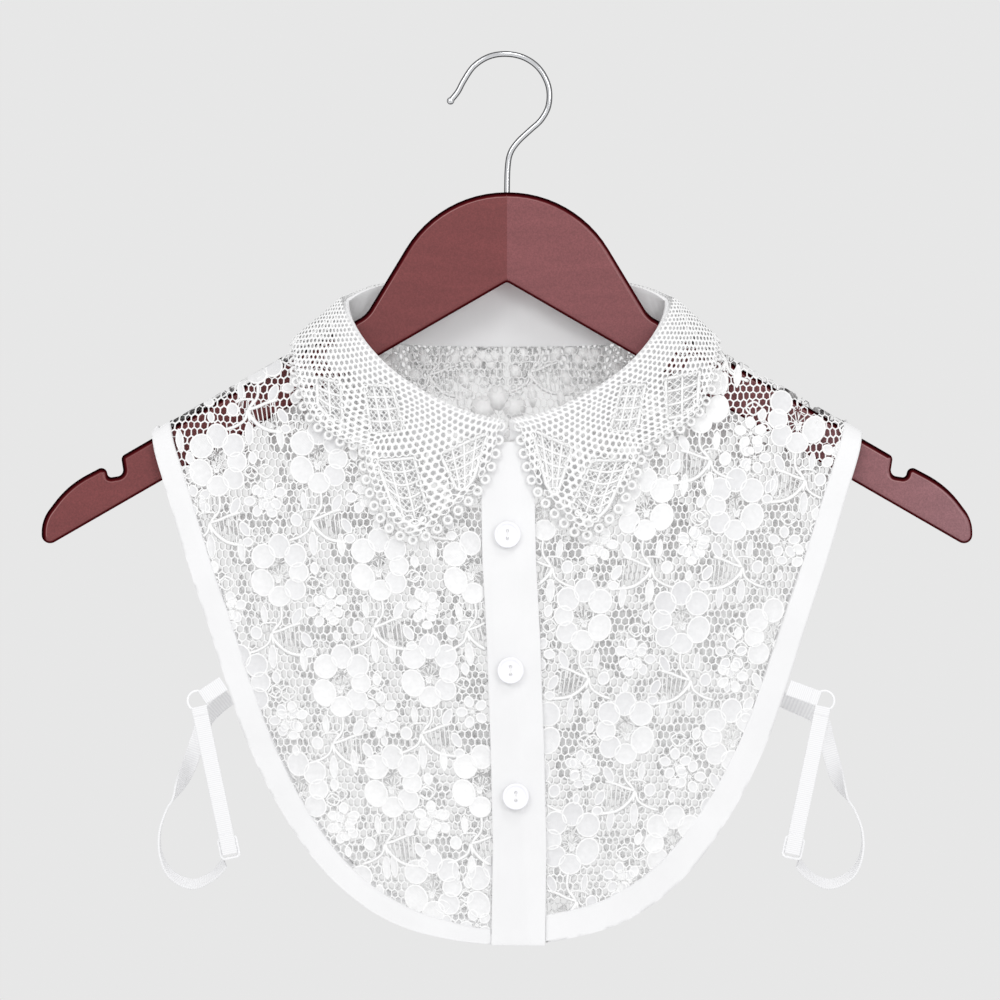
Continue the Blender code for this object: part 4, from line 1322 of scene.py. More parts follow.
def panel_cut(
    line: Line, sign: float, band_widths: Sequence[Flat], inner_at: Callable[[float, float], float]
) -> CutRegion:
    """The flat outline of a lace panel, which ends under its binding and at the shoulder's fold.

    Args:
        line: the panel's outer edge, from the hem up.
        sign: the side that the edge is on.
        band_widths: the binding's width along the edge.
        inner_at: the inner limit for a height and a growth.

    Returns:
        The outline, row by row.
    """
    tables = {}
    for grow in (0.0, 1.0, 1.8):
        rows = []
        for i in range(81):
            share = i / 80
            across = FORM.edge_normal(line, share, sign)
            point = point_along(line, share) + across * (read_rows(band_widths, share) - grow)
            rows.append((point.z, abs(point.x)))
        tables[grow] = sorted(rows)
    lowest = {grow: rows[0][0] for grow, rows in tables.items()}

    def limits_at(z: float, grow: float) -> Flat:
        """Inner and outer limit at a height."""
        if z < lowest[grow]:
            return (1.0, 0.0)
        over = FORM.arm_top_x + (FORM.arm_top_z + FORM.cloth_rise - z) / FORM.arm_slope
        return (inner_at(z, grow), min(read_rows(tables[grow], z), over - 0.3))

    return CutRegion(FORM.shoulder_z(FORM.neck_x), FORM.hem_z, limits_at)


def binding_proud(share: float, v: float, ripple: float) -> float:
    """How far a binding stands out, with its puckers and its stitched line.

    Args:
        share: the place along it.
        v: the place across it, from its outer edge.
        ripple: the sine of the puckers at this place.

    Returns:
        The height over the cloth, in millimetres.
    """
    pucker = 0.16 * ripple * v * ease(share / 0.1)
    stitched = -0.22 * math.exp(-(((v - 0.86) / 0.05) ** 2))
    return FORM.band_proud * ease(share / FORM.band_turn) + pucker * 0.6 + stitched


@dataclass
class LaceFront:
    """One front of floral lace with its binding."""

    side: Side
    flowers: tuple[Flat, ...]
    band_widths: tuple[Flat, ...]
    outer: Line = field(default_factory=list)

    def __post_init__(self) -> None:
        """Draws the outline that the front is cut to."""
        sign = self.side.value
        until_x = FORM.centre_x(FORM.hem_z) + sign * (FORM.placket_width / 2 + FORM.seam)
        self.outer = FORM.outline_half(sign, until_x)

    def binding_edge(self, share: float, inset: float) -> Vector:
        """A point across the binding: 0 is its outer edge and 1 its inner one."""
        across = FORM.edge_normal(self.outer, share, self.side.value)
        return point_along(self.outer, share) + across * (read_rows(self.band_widths, share) * inset)

    def cut(self) -> CutRegion:
        """The lace's flat outline."""
        sign = self.side.value
        neck = [FORM.neckline_front(math.radians(90.0 * i / 60)) for i in range(61)]
        neck_rows = [(p.z, p.x) for p in neck]

        def inner_at(z: float, grow: float) -> float:
            """The placket's edge, and above it the neckline."""
            inner = sign * FORM.centre_x(z) + FORM.placket_width / 2 + FORM.seam
            if z > FORM.neck_front_z:
                inner = max(inner, read_rows(neck_rows, z))
            return inner - grow

        return panel_cut(self.outer, sign, self.band_widths, inner_at)

    def build_lace(self) -> bpy.types.Object:
        """The lace itself, with its flowers where the photograph has them."""
        sign = self.side.value
        region = self.cut()

        def holds(x: float, z: float, grow: float) -> bool:
            """Whether a flat point is in the lace."""
            return region.holds(sign * x, z, grow)

        def lay(x: float, z: float, proud: float) -> Vector:
            """The lace's surface, held down where it goes under its neighbours."""
            if not holds(x, z, 0.0):
                proud = min(proud, -0.35)
            place = FORM.front(x, z, proud)
            place.y = min(place.y, -FORM.seam)
            return place

        mesh = SewnMesh(lay)
        blooms = []
        for index, (px, py) in enumerate(self.flowers):
            x, z = from_photo(px, py)
            blooms.append(Bloom(x, z, 2.5 * wobble(index + 3.0 * sign), -sign))
        span = (-172.0, 12.0) if sign < 0 else (-12.0, 172.0)
        LACE.fill_panel(mesh, blooms, holds, (*span, FORM.hem_z, FORM.shoulder_z(FORM.neck_x)))
        item = mesh.make(f"lace_front_{self.side.word}", Finish.FLORAL_LACE, f"front_{self.side.word}")
        return item

    def build_binding(self) -> bpy.types.Object:
        """The folded cotton binding down the side and round the hem."""

        def place(u: float, v: float) -> Vector:
            """The binding's outer face, with its puckers and its stitched line."""
            share = 1.0 - shoulder_steps(u)
            point = self.binding_edge(share, v)
            if share < 0.0001:
                return Vector((point.x, -0.5, FORM.shoulder_z(point.x)))
            length = share * 300.0
            ripple = math.sin(length / 2.6 + 1.3 * math.sin(length / 17.0))
            return FORM.flat_front(point.x, point.z, binding_proud(share, v, ripple))

        name = f"band_front_{self.side.word}"
        piece = f"binding_front_{self.side.word}"
        item = cloth_wall(piece, Finish.COTTON, place, 160, 9, 1.3, [name], (0.3, 0.011))
        return item


@dataclass
class LaceBack:
    """The back of floral lace, modelled in two halves that join at the centre, with its binding."""

    band_widths: tuple[Flat, ...] = ((0.0, 10.0), (0.5, 11.0), (1.0, 11.0))
    first_flower: Flat = (-4.0, -176.0)
    along: Flat = (48.3, 1.4)
    down: Flat = (29.7, -52.6)
    half: Line = field(default_factory=list)

    def __post_init__(self) -> None:
        """Draws the right half of the outline that the back is cut to."""
        self.half = FORM.outline_half(1.0, 0.0, 1.0)

    def cut(self) -> CutRegion:
        """The flat outline of one half."""
        top = FORM.shoulder_z(FORM.neck_x)

        def inner_at(z: float, grow: float) -> float:
            """The centre, and above it the neckline."""
            if z <= FORM.neck_back_z:
                return -1.0
            share = clamp((z - FORM.neck_back_z) / (top - FORM.neck_back_z)) ** 0.25
            return FORM.neck_x * share - grow

        return panel_cut(self.half, 1.0, self.band_widths, inner_at)

    def blooms(self) -> list[Bloom]:
        """The repeats of the back, on the lattice measured on the front."""
        found = []
        for row in range(-1, 6):
            for column in range(-8, 8):
                x = self.first_flower[0] + column * self.along[0] + row * self.down[0]
                z = self.first_flower[1] + column * self.along[1] + row * self.down[1]
                if abs(x) < 190 and -450 < z < -100:
                    found.append(Bloom(x, z, 2.0 * wobble(row * 9.0 + column), 1.0))
        return found

    def build_lace(self) -> list[bpy.types.Object]:
        """Both halves of the lace."""
        region = self.cut()
        made = []
        for side in Side:
            sign = side.value

            def holds(x: float, z: float, grow: float, sign: float = sign) -> bool:
                """Whether a flat point is in this half."""
                return sign * x >= -0.001 * sign and region.holds(abs(x), z, grow)

            def lay(x: float, z: float, proud: float) -> Vector:
                """The back's surface, held down where it goes under its neighbours."""
                if not region.holds(abs(x), z, 0.0):
                    proud = min(proud, -0.35)
                place = FORM.back(x, z, proud)
                place.y = max(place.y, FORM.seam)
                return place

            mesh = SewnMesh(lay, flip=True)
            span = (-172.0, 6.0) if sign < 0 else (-6.0, 172.0)
            LACE.fill_panel(mesh, self.blooms(), holds, (*span, FORM.hem_z, FORM.shoulder_z(FORM.neck_x)))
            item = mesh.make(f"lace_back_{side.word}", Finish.FLORAL_LACE, "back")
            made.append(item)
        return made

    def build_binding(self) -> bpy.types.Object:
        """The folded cotton binding round the back, from shoulder to shoulder."""

        def place(u: float, v: float) -> Vector:
            """The binding's outer face, with its puckers and its stitched line."""
            side = 2 * u - 1
            share = 1.0 - shoulder_steps(abs(side))
            across = FORM.edge_normal(self.half, share, 1.0)
            point = point_along(self.half, share) + across * (v * read_rows(self.band_widths, share))
            x = math.copysign(point.x, side)
            if share < 0.0001:
                return Vector((x, 0.5, FORM.shoulder_z(x)))
            length = share * 320.0
            ripple = math.sin(length / 2.7 + 1.1 * math.sin(length / 15.0))
            y = FORM.depth(x, point.z, FORM.back_swell) + binding_proud(share, v, ripple)
            return Vector((x, y, point.z))

        item = cloth_wall("binding_back", Finish.COTTON, place, 320, 9, 1.3, ["band_back"], (0.64, 0.011))
        return item


# Cotton button stands


@dataclass(frozen=True)
class ButtonStand:
    """The two cotton strips of the front opening, one buttoned over the other."""

    width: float = 25.6
    under_width: float = 24.0
    wall: float = 1.5
    proud: float = 2.0
    under_proud: float = 0.2
    end_z: float = -424.5
    stitch_inset: float = 1.6

    def relief(self, u: float, z: float, width: float) -> float:
        """Soft creases and stitched lines of a strip.

        Args:
            u: share across the strip.
            z: height.
            width: the strip's width.

        Returns:
            How far its face stands out of the plain strip.
        """
        across = (u - 0.5) * width
        wave = 0.6 * math.sin(z / 17.0 + across / 9.0) + 0.3 * math.sin(z / 7.1 - across / 5.0)
        long_fold = 0.8 * math.exp(-(((across - 3.0 - 2.5 * math.sin(z / 41.0)) / 2.6) ** 2))
        stitched = 0.0
        for edge in (-1, 1):
            away = (across - edge * (width / 2 - self.stitch_inset)) / 0.5
            stitched -= 0.34 * math.exp(-away * away)
        calm = ease((width / 2 - abs(across)) / 4.0)
        return (wave * 0.5 + long_fold) * calm * 0.5 + stitched

    def strip(self, name: str, node: str, width: float, end_z: float, proud: float) -> bpy.types.Object:
        """One cotton strip."""
        top = FORM.neck_front_z - FORM.seam

        def place(u: float, v: float) -> Vector:
            """The strip's outer face."""
            z = top + (end_z - top) * (1 - v)
            x = FORM.centre_x(z) + (u - 0.5) * width
            return FORM.flat_front(x, z, proud + self.relief(u, z, width))

        size = (width * MM, (top - end_z) * MM)
        item = cloth_wall(name, Finish.COTTON, place, 24, 120, self.wall, [node], size)
        return item

    def build(self) -> list[bpy.types.Object]:
        """Both strips."""
        return [
            self.strip("button_stand_top", "placket", self.width, self.end_z, self.proud),
            self.strip("button_stand_under", "placket_under", self.under_width, FORM.hem_z, self.under_proud),
        ]


# Collar


FRONT_RIM = {
    Side.LEFT: (
        (-3.1, -177.0), (-5.3, -189.0), (-10.0, -201.4), (-17.0, -211.0), (-27.3, -220.6), (-36.0, -227.6),
        (-45.5, -231.1), (-57.4, -224.4), (-64.1, -212.9), (-68.2, -197.0), (-69.4, -187.6),
        (-79.0, -184.4), (-90.5, -177.0), (-97.6, -166.0), (-101.3, -152.0),
    ),
    Side.RIGHT: (
        (5.7, -177.0), (7.7, -189.0), (11.9, -203.0), (18.7, -213.9), (26.8, -222.5), (31.6, -226.8),
        (37.8, -228.9), (48.8, -221.1), (56.5, -211.0), (62.7, -197.1), (66.0, -187.4), (76.0, -181.4),
        (88.0, -174.4), (96.0, -163.0), (99.8, -150.0),
    ),
}
BACK_RIM = (
    (98.0, -147.5), (91.0, -150.0), (75.0, -161.0), (58.0, -151.5), (38.0, -162.5), (19.5, -152.5),
    (0.0, -163.5),
)


@dataclass(frozen=True)
class CollarForm:
    """The standing band and the fold of the collar."""

    fold_x: float = 77.0
    fold_side_z: float = -116.0
    fold_front_z: float = -174.0
    fold_back_z: float = -107.0
    fold_front_y: float = -44.0
    fold_back_y: float = 16.0
    fold_fullness: float = 1.25
    fall_start: float = 1.8
    fall_fade: float = 3.0
    fall_crown: float = 1.5
    fall_lift: float = 2.6
    fall_over: float = 1.6
    fall_front_lift: float = 2.2
    picot_reach: float = 2.4
    end: float = 0.012
    tip_row: int = 6
    steps: int = 6

    def fold_loop(self, sign: float, turn: float) -> Vector:
        """The fold round one side, from the centre front (0) to the centre back (1)."""
        shoulder = FORM.shoulder_turn
        if turn < shoulder:
            angle = math.radians(90.0) * (1 - turn / shoulder)
            x = self.fold_x * math.cos(angle) ** self.fold_fullness
            fall = self.fold_front_z - self.fold_side_z
            z = self.fold_side_z + fall * math.sin(angle) ** self.fold_fullness
            y = self.fold_front_y * math.sqrt(max(0.0, 1 - (x / self.fold_x) ** 2))
            return Vector((sign * x, y, z))
        x = self.fold_x * math.cos(math.radians(90.0) * (turn - shoulder) / (1 - shoulder))
        z = self.fold_back_z + (self.fold_side_z - self.fold_back_z) * (x / self.fold_x) ** 6
        y = self.fold_back_y * math.sqrt(max(0.0, 1 - (x / self.fold_x) ** 2))
        return Vector((sign * x, y, z))

    def lift_at(self, x: float) -> float:
        """How far the fall lies above the front, more towards the opening."""
        return self.fall_lift + self.fall_front_lift * max(0.0, 1.0 - abs(x) / 60.0)

    def rim_line(self, side: Side) -> tuple[Line, Line, float]:
        """The line through the edge rings of one side.

        Args:
            side: which half.

        Returns:
            The front edge down to the tip, the outer edge from the tip to the centre back, and the
            share of the outer edge at which it passes the shoulder.
        """
        sign = side.value
        front = []
        for x, z in FRONT_RIM[side]:
            front.append(Vector((x, -FORM.depth(x, z, FORM.front_swell, self.lift_at(x)), z)))
        side_x = sign * (abs(FRONT_RIM[side][-1][0]) + 0.6)
        over = Vector((side_x, 0.0, FORM.shoulder_z(side_x, self.fall_lift + self.fall_over)))
        back = [Vector((sign * x, FORM.depth(x, z, FORM.back_swell, self.fall_lift), z)) for x, z in BACK_RIM]
        line = curve_through(front + [over] + back, self.steps)
        tip = self.tip_row * self.steps
        shoulder = len(front) * self.steps
        share = line_length(line[tip : shoulder + 1]) / line_length(line[tip:])
        return line[: tip + 1], line[tip:], share

    def half_fall(self, side: Side) -> Callable[[float, float], Vector]:
        """The fall's outer face on one side: u from the tip to the centre back, v from rim to fold."""
        sign = side.value
        front_edge, outer_edge, at_shoulder = self.rim_line(side)
        shoulder = FORM.shoulder_turn

        def fold_edge(u: float) -> Vector:
            """The fold, which reaches the shoulder at the same share as the rim does."""
            if u < at_shoulder:
                turn = shoulder * u / at_shoulder
            else:
                turn = shoulder + (1.0 - shoulder) * (u - at_shoulder) / (1.0 - at_shoulder)
            fold = self.fold_loop(sign, max(turn, self.end))
            half_depth = self.fold_front_y if fold.y < 0 else self.fold_back_y
            outward = Vector((fold.x / self.fold_x**2, fold.y / half_depth**2, 0.0)).normalized()
            return fold + outward * self.fall_start + Vector((0.0, 0.0, 0.5))

        def rim(u: float) -> Vector:
            """The fall's outermost edge, a ring's reach outside the line of the rings."""
            centre = fold_edge(0.12 + 0.88 * u)
            step = 0.01
            point = point_along(outer_edge, u)
            along = point_along(outer_edge, u + step) - point_along(outer_edge, u - step)
            outward = point - centre
            outward -= along * (outward.dot(along) / max(along.length_squared, 1e-9))
            return point + outward.normalized() * self.picot_reach

        def front_side(v: float) -> Vector:
            """The front edge, from the tip up to the fold."""
            return point_along([fold_edge(0.0)] + front_edge[1:-1] + [rim(0.0)], 1 - v)

        def back_side(v: float) -> Vector:
            """The centre back."""
            return rim(1.0).lerp(fold_edge(1.0), v)

        patch = four_sided(rim, fold_edge, front_side, back_side, self.fall_fade)

        def place(u: float, v: float) -> Vector:
            """The fall's outer face, kept clear of the body under it."""
            point = patch(u, v) + Vector((0.0, 0.0, self.fall_crown * math.sin(math.pi * v)))
            on_front = point.y < 0
            swell = FORM.front_swell if on_front else FORM.back_swell
            lift = self.lift_at(point.x) if on_front else self.fall_lift
            least = FORM.depth(point.x, point.z, swell, lift)
            if abs(point.y) < least:
                point.y = math.copysign(least, point.y)
            return point

        return place


COLLAR = CollarForm()


class LatticeFrame(NamedTuple):
    """A corded frame in the guipure: its corners, how far its foot bulges and its lattice."""

    top_left: Flat
    top_right: Flat
    bottom_right: Flat
    bottom_left: Flat
    foot: float
    columns: int
    rows: int

    def holds(self, x: float, z: float) -> bool:
        """Whether a point of the view lies inside the frame."""
        drop = self.foot * 0.6
        corners = (
            self.top_left,
            self.top_right,
            (self.bottom_right[0], self.bottom_right[1] - drop),
            (self.bottom_left[0], self.bottom_left[1] - drop),
        )
        for (ax, az), (bx, bz) in zip(corners, corners[1:] + corners[:1]):
            if (bx - ax) * (z - az) - (bz - az) * (x - ax) > 0:
                return False
        return True


FRONT_FRAMES = {
    Side.LEFT: (
        LatticeFrame((-91.0, -153.4), (-79.4, -156.0), (-78.2, -175.2), (-90.4, -166.8), 2.0, 2, 3),
        LatticeFrame((-68.4, -157.0), (-55.1, -157.3), (-48.8, -179.0), (-64.8, -180.0), 1.0, 3, 4),
        LatticeFrame((-62.2, -193.2), (-44.3, -191.9), (-37.4, -217.8), (-55.0, -213.6), 8.0, 3, 5),
        LatticeFrame((-32.0, -190.0), (-9.0, -179.8), (-15.6, -201.0), (-24.4, -206.4), 3.0, 4, 4),
    ),
    Side.RIGHT: (
        LatticeFrame((75.5, -154.2), (92.0, -150.6), (91.0, -166.0), (76.0, -173.0), 2.0, 2, 3),
        LatticeFrame((54.6, -157.0), (66.0, -157.0), (62.0, -178.0), (49.0, -179.0), 1.0, 3, 4),
        LatticeFrame((40.4, -193.0), (58.6, -193.0), (48.4, -215.0), (31.0, -214.4), 7.0, 3, 5),
        LatticeFrame((11.6, -178.4), (31.2, -187.0), (25.0, -206.0), (18.6, -204.4), 3.0, 4, 4),
    ),
}
BACK_FRAMES = (
    LatticeFrame((66.0, -128.0), (84.0, -131.0), (84.0, -150.0), (68.0, -150.0), 5.0, 3, 4),
    LatticeFrame((29.0, -128.0), (47.0, -128.0), (45.0, -151.0), (31.0, -151.0), 5.0, 3, 4),
    LatticeFrame((3.0, -128.0), (14.0, -128.0), (11.0, -150.0), (3.0, -154.0), 1.0, 2, 4),
)


@dataclass(frozen=True)
class CollarStand:
    """The cotton band that stands round the neck inside the collar."""

    wall: float = 1.6

    def build(self) -> bpy.types.Object:
        """The band, with shallow upright puckers and a stitched line by its seam."""

        def place(u: float, v: float) -> Vector:
            """The band's outer face."""
            side = 2 * u - 1
            sign = -1.0 if side < 0 else 1.0
            turn = max(1.0 - abs(side), COLLAR.end)
            seam = FORM.seam_loop(sign, turn)
            fold = COLLAR.fold_loop(sign, turn)
            upward = (fold - seam).normalized()
            point = (seam + upward * FORM.seam * 2).lerp(fold, v)
            pucker = 0.14 * math.sin(turn * 310.0 + 2.0 * math.sin(turn * 47.0)) * math.sin(math.pi * v)
            inward = Vector((-point.x, -point.y, 0.0)).normalized()
            return point + inward * (pucker + 0.14 + 0.2 * math.exp(-(((v - 0.14) / 0.05) ** 2)))

        nodes = ["collar_stand"]
        item = cloth_wall("neck_stand", Finish.COTTON, place, 300, 8, self.wall, nodes, (0.33, 0.022))
        return item


@dataclass(frozen=True)
class GuipureFall:
    """The turned-down collar of corded guipure: a fine ground, framed lattices and ringed edges."""

    side: Side
    ground_wide: float = 235.0
    ground_deep: float = 58.0
    cell: float = 3.1
    cell_row: float = 3.0
    slant: float = 0.85
    thread: float = 1.1
    low: float = -1.05
    high: float = -0.45
    ring_pitch: float = 6.6
    ring_width: float = 3.8
    ring_cord: float = 1.6

    def build(self) -> bpy.types.Object:
        """One half of the fall."""
        place = COLLAR.half_fall(self.side)
        columns, rows = 160, 40
        grid = [[place(i / columns, j / rows) for i in range(columns + 1)] for j in range(rows + 1)]
        sign = self.side.value

        def surface(u: float, v: float, proud: float) -> Vector:
            """A point over the fall's outer face by u and v."""
            x, y = clamp(u) * columns, clamp(v) * rows
            i, j = min(int(x), columns - 1), min(int(y), rows - 1)
            fx, fy = x - i, y - j
            low = grid[j][i].lerp(grid[j][i + 1], fx)
            high = grid[j + 1][i].lerp(grid[j + 1][i + 1], fx)
            across = grid[j][i + 1] - grid[j][i]
            up = high - low
            out = across.cross(up).normalized() * sign * -1.0
            if out.length < 0.5:
                out = Vector((0.0, -1.0 if low.y < 0 else 1.0, 0.0))
            return low.lerp(high, fy) + out * proud

        def lay(x: float, z: float, proud: float) -> Vector:
            """The fall's surface by flat millimetres along and up from the rim."""
            return surface(x / self.ground_wide, z / self.ground_deep, proud)

        mesh = SewnMesh(lay, flip=sign < 0)
        ground = FloralLace(
            self.cell, self.cell_row, self.slant, self.thread, self.low, self.high, uneven=0.5
        )

        def keep(x: float, z: float) -> bool:
            """Whether a ground cell stays: inside the edge rings and outside the frames."""
            if not (2.5 < x < self.ground_wide - 0.5 and 4.5 < z < self.ground_deep - 0.6):
                return False
            place = lay(x, z, 0.0)
            if place.y < 0:
                return not any(shape.holds(place.x, place.z) for shape in FRONT_FRAMES[self.side])
            return not any(shape.holds(place.x * sign, place.z) for shape in BACK_FRAMES)

        ground.net(mesh, keep, (0.0, self.ground_wide, 0.0, self.ground_deep))
        corners = [place for row in grid for place in row]
        ahead = columns + 1
        starts = [j * ahead + i for j in range(rows) for i in range(columns)]
        faces = [(first, first + 1, first + ahead + 1, first + ahead) for first in starts]
        tree = BVHTree.FromPolygons(corners, faces)
        for facing, frames in ((-1.0, FRONT_FRAMES[self.side]), (1.0, BACK_FRAMES)):

            def drape(x: float, z: float, proud: float, facing: float = facing) -> Vector:
                """A point over the fall, straight behind a point of the front or back view."""
                x = x if facing < 0 else x * sign
                hit = tree.ray_cast(Vector((x, facing * 300.0, z)), Vector((0.0, -facing, 0.0)))
                if hit[0] is None or hit[0].y * facing < 0:
                    hit = tree.find_nearest(Vector((x, facing * (45.0 if facing < 0 else 18.0), z)))
                out = hit[1] if hit[1].y * facing > 0 else -hit[1]
                return hit[0] + out * proud

            mesh.lay = drape
            mesh.flip = facing * (1.0 if facing < 0 else sign) > 0
            for shape in frames:
                self.framed_lattice(mesh, shape)
        self.edge_rings(mesh, surface)
        item = mesh.make(f"guipure_fall_{self.side.word}", Finish.GUIPURE_LACE, "collar_fall")
        return item

    def inner_ring(self, mesh: SewnMesh, surface: Lay, u: float, v: float) -> None:
        """A smaller ring of the second row, at u and v of the fall."""
        centre = surface(u, v, -0.2)
        out = (surface(u, v, 1.0) - surface(u, v, 0.0)).normalized()
        self.ring(mesh, centre, out, 1.45, 1.1, 10)

    def ring(
        self, mesh: SewnMesh, centre: Vector, out: Vector, reach: float, cord: float, sides: int = 12
    ) -> None:
        """Adds a stitched ring.

        Args:
            mesh: the piece it goes into.
            centre: its middle.
            out: the direction it faces.
            reach: radius to the middle of its cord.
            cord: width of its cord.
            sides: how many corners it has.
        """
        across = out.orthogonal().normalized()
        up = out.cross(across)
        first = len(mesh.points)
        for step in range(sides):
            angle = 2 * math.pi * step / sides
            spoke = across * math.cos(angle) + up * math.sin(angle)
            for turn in range(5):
                bend = 2 * math.pi * turn / 5 + math.pi / 2
                away = spoke * (reach + cord / 2 * math.cos(bend))
                mesh.points.append(centre + away + out * (cord * 0.45 * math.sin(bend)))
                mesh.threads.append((angle * reach, bend * cord / 2))
                mesh.tones.append(1.0)
        for step in range(sides):
            after = (step + 1) % sides
            for turn in range(5):
                nearby = (turn + 1) % 5
                mesh.faces.append(
                    (
                        first + step * 5 + turn,
                        first + after * 5 + turn,
                        first + after * 5 + nearby,
                        first + step * 5 + nearby,
                    )
                )

    def framed_lattice(self, mesh: SewnMesh, shape: LatticeFrame) -> None:
        """A corded frame with its ladders and fine webs.

        Args:
            mesh: the piece it goes into.
            shape: the frame's corners and how far its foot is rounded.
        """
        edge = []
        for start, end, bow in (
            (shape.top_left, shape.bottom_left, 0.0),
            (shape.bottom_left, shape.bottom_right, shape.foot),
            (shape.bottom_right, shape.top_right, 0.0),
            (shape.top_right, shape.top_left, 0.0),
        ):
            for step in range(8):
                t = step / 8
                x = start[0] + (end[0] - start[0]) * t
                z = start[1] + (end[1] - start[1]) * t - bow * math.sin(math.pi * t)
                edge.append((x, z))
        mesh.cord(edge, 2.0, -0.6, 0.65, closed=True)

        def inside(u: float, v: float) -> Flat:
            """A point of the frame by shares across and up."""
            low = [a + (b - a) * u for a, b in zip(shape.bottom_left, shape.bottom_right)]
            high = [a + (b - a) * u for a, b in zip(shape.top_left, shape.top_right)]
            drop = shape.foot * math.sin(math.pi * u) * (1 - v)
            return (low[0] + (high[0] - low[0]) * v, low[1] + (high[1] - low[1]) * v - drop)

        for column in range(1, shape.columns):
            u = column / shape.columns
            mesh.cord([inside(u, step / 8) for step in range(9)], 1.3, -0.6, 0.3)
        for row in range(1, shape.rows):
            v = row / shape.rows
            mesh.cord([inside(step / 6, v) for step in range(7)], 1.3, -0.6, 0.3)
        wide, deep = shape.columns * 2, shape.rows * 2
        for column in range(wide):
            for row in range(deep):
                u0, u1 = column / wide, (column + 1) / wide
                v0, v1 = row / deep, (row + 1) / deep
                mesh.cord([inside(u0, v0), inside(u1, v1)], 0.7, -0.8, -0.2)
                mesh.cord([inside(u0, v1), inside(u1, v0)], 0.7, -0.8, -0.2)

    def edge_rings(self, mesh: SewnMesh, surface: Lay) -> None:
        """Rings along the front edge, the outer edge and round to the centre back.

        Args:
            mesh: the piece they go into.
            surface: a point over the fall by u and v.
        """
        count = round(self.ground_wide / 5.4)
        for step in range(count):
            u = (step + 0.5) / count
            self.inner_ring(mesh, surface, u, 0.135)
        for step in range(7):
            self.inner_ring(mesh, surface, 0.03, 0.2 + step * 0.1)
        front_edge, outer_edge, _ = COLLAR.rim_line(self.side)
        line = front_edge + outer_edge[1:]
        for index, centre in enumerate(even_points(line, self.ring_pitch)):
            facing = -1.0 if centre.y < 0 else 1.0
            swell = FORM.front_swell if centre.y < 0 else FORM.back_swell
            lift = COLLAR.lift_at(centre.x) if centre.y < 0 else COLLAR.fall_lift
            foot = FORM.raised(centre.x, centre.z, swell, facing, 0.0, lift)
            out = (FORM.raised(centre.x, centre.z, swell, facing, 1.0, lift) - foot).normalized()
            if centre.z > FORM.shoulder_z(centre.x, lift):
                out = Vector((math.copysign(0.5, centre.x), 0.0, 0.86))
            reach = self.ring_width / 2 + 0.05 * wobble(index)
            self.ring(mesh, centre - out * 0.3, out, reach, self.ring_cord)


# Buttons, straps and their hardware


def deselect_all() -> None:
    """Leaves nothing selected, because operators act on all that is."""
    if bpy.context.object and bpy.context.object.mode != "OBJECT":
        bpy.ops.object.mode_set(mode="OBJECT")
    bpy.ops.object.select_all(action="DESELECT")


def pick_faces(item: bpy.types.Object, wanted: Callable[[bmesh.types.BMFace], bool]) -> None:
    """Selects faces in edit mode.

    Args:
        item: the object, which is in edit mode.
        wanted: whether a face is to be selected.
    """
    data = bmesh.from_edit_mesh(item.data)
    for face in data.faces:
        face.select_set(wanted(face))
    bmesh.update_edit_mesh(item.data)


def select_only(item: bpy.types.Object) -> None:
    """Leaves one piece selected and active."""
    deselect_all()
    item.select_set(True)
    bpy.context.view_layer.objects.active = item


def apply_modifier(item: bpy.types.Object, name: str) -> None:
    """Applies one of a piece's modifiers."""
    select_only(item)
    bpy.ops.object.modifier_apply(modifier=name)
    item.select_set(False)


def curve_to_mesh(item: bpy.types.Object) -> bpy.types.Object:
    """Puts a curve's object into the scene as a mesh, left selected and active."""
    bpy.context.scene.collection.objects.link(item)
    select_only(item)
    bpy.ops.object.convert(target="MESH")
    return bpy.context.object


def bent_wire(
    name: str, lines: Sequence[tuple[Sequence[Vector], bool]], wire: float, rounds: int
) -> bpy.types.Object:
    """Bends a wire along lines.

    Args:
        name: the piece's name.
        lines: each line, and whether it closes on itself.
        wire: the wire's diameter.
        rounds: how finely its round is drawn.

    Returns:
        The wire's mesh object, selected and active.
    """
    curve = bpy.data.curves.new(name, "CURVE")
    curve.dimensions = "3D"
    curve.bevel_depth = wire / 2 * MM
    curve.bevel_resolution = rounds
    curve.use_fill_caps = True
    for line, closed in lines:
        spline = curve.splines.new("POLY")
        spline.points.add(len(line) - 1)
        for point, place in zip(spline.points, line):
            point.co = (*(place * MM), 1.0)
        spline.use_cyclic_u = closed
    return curve_to_mesh(bpy.data.objects.new(name, curve))


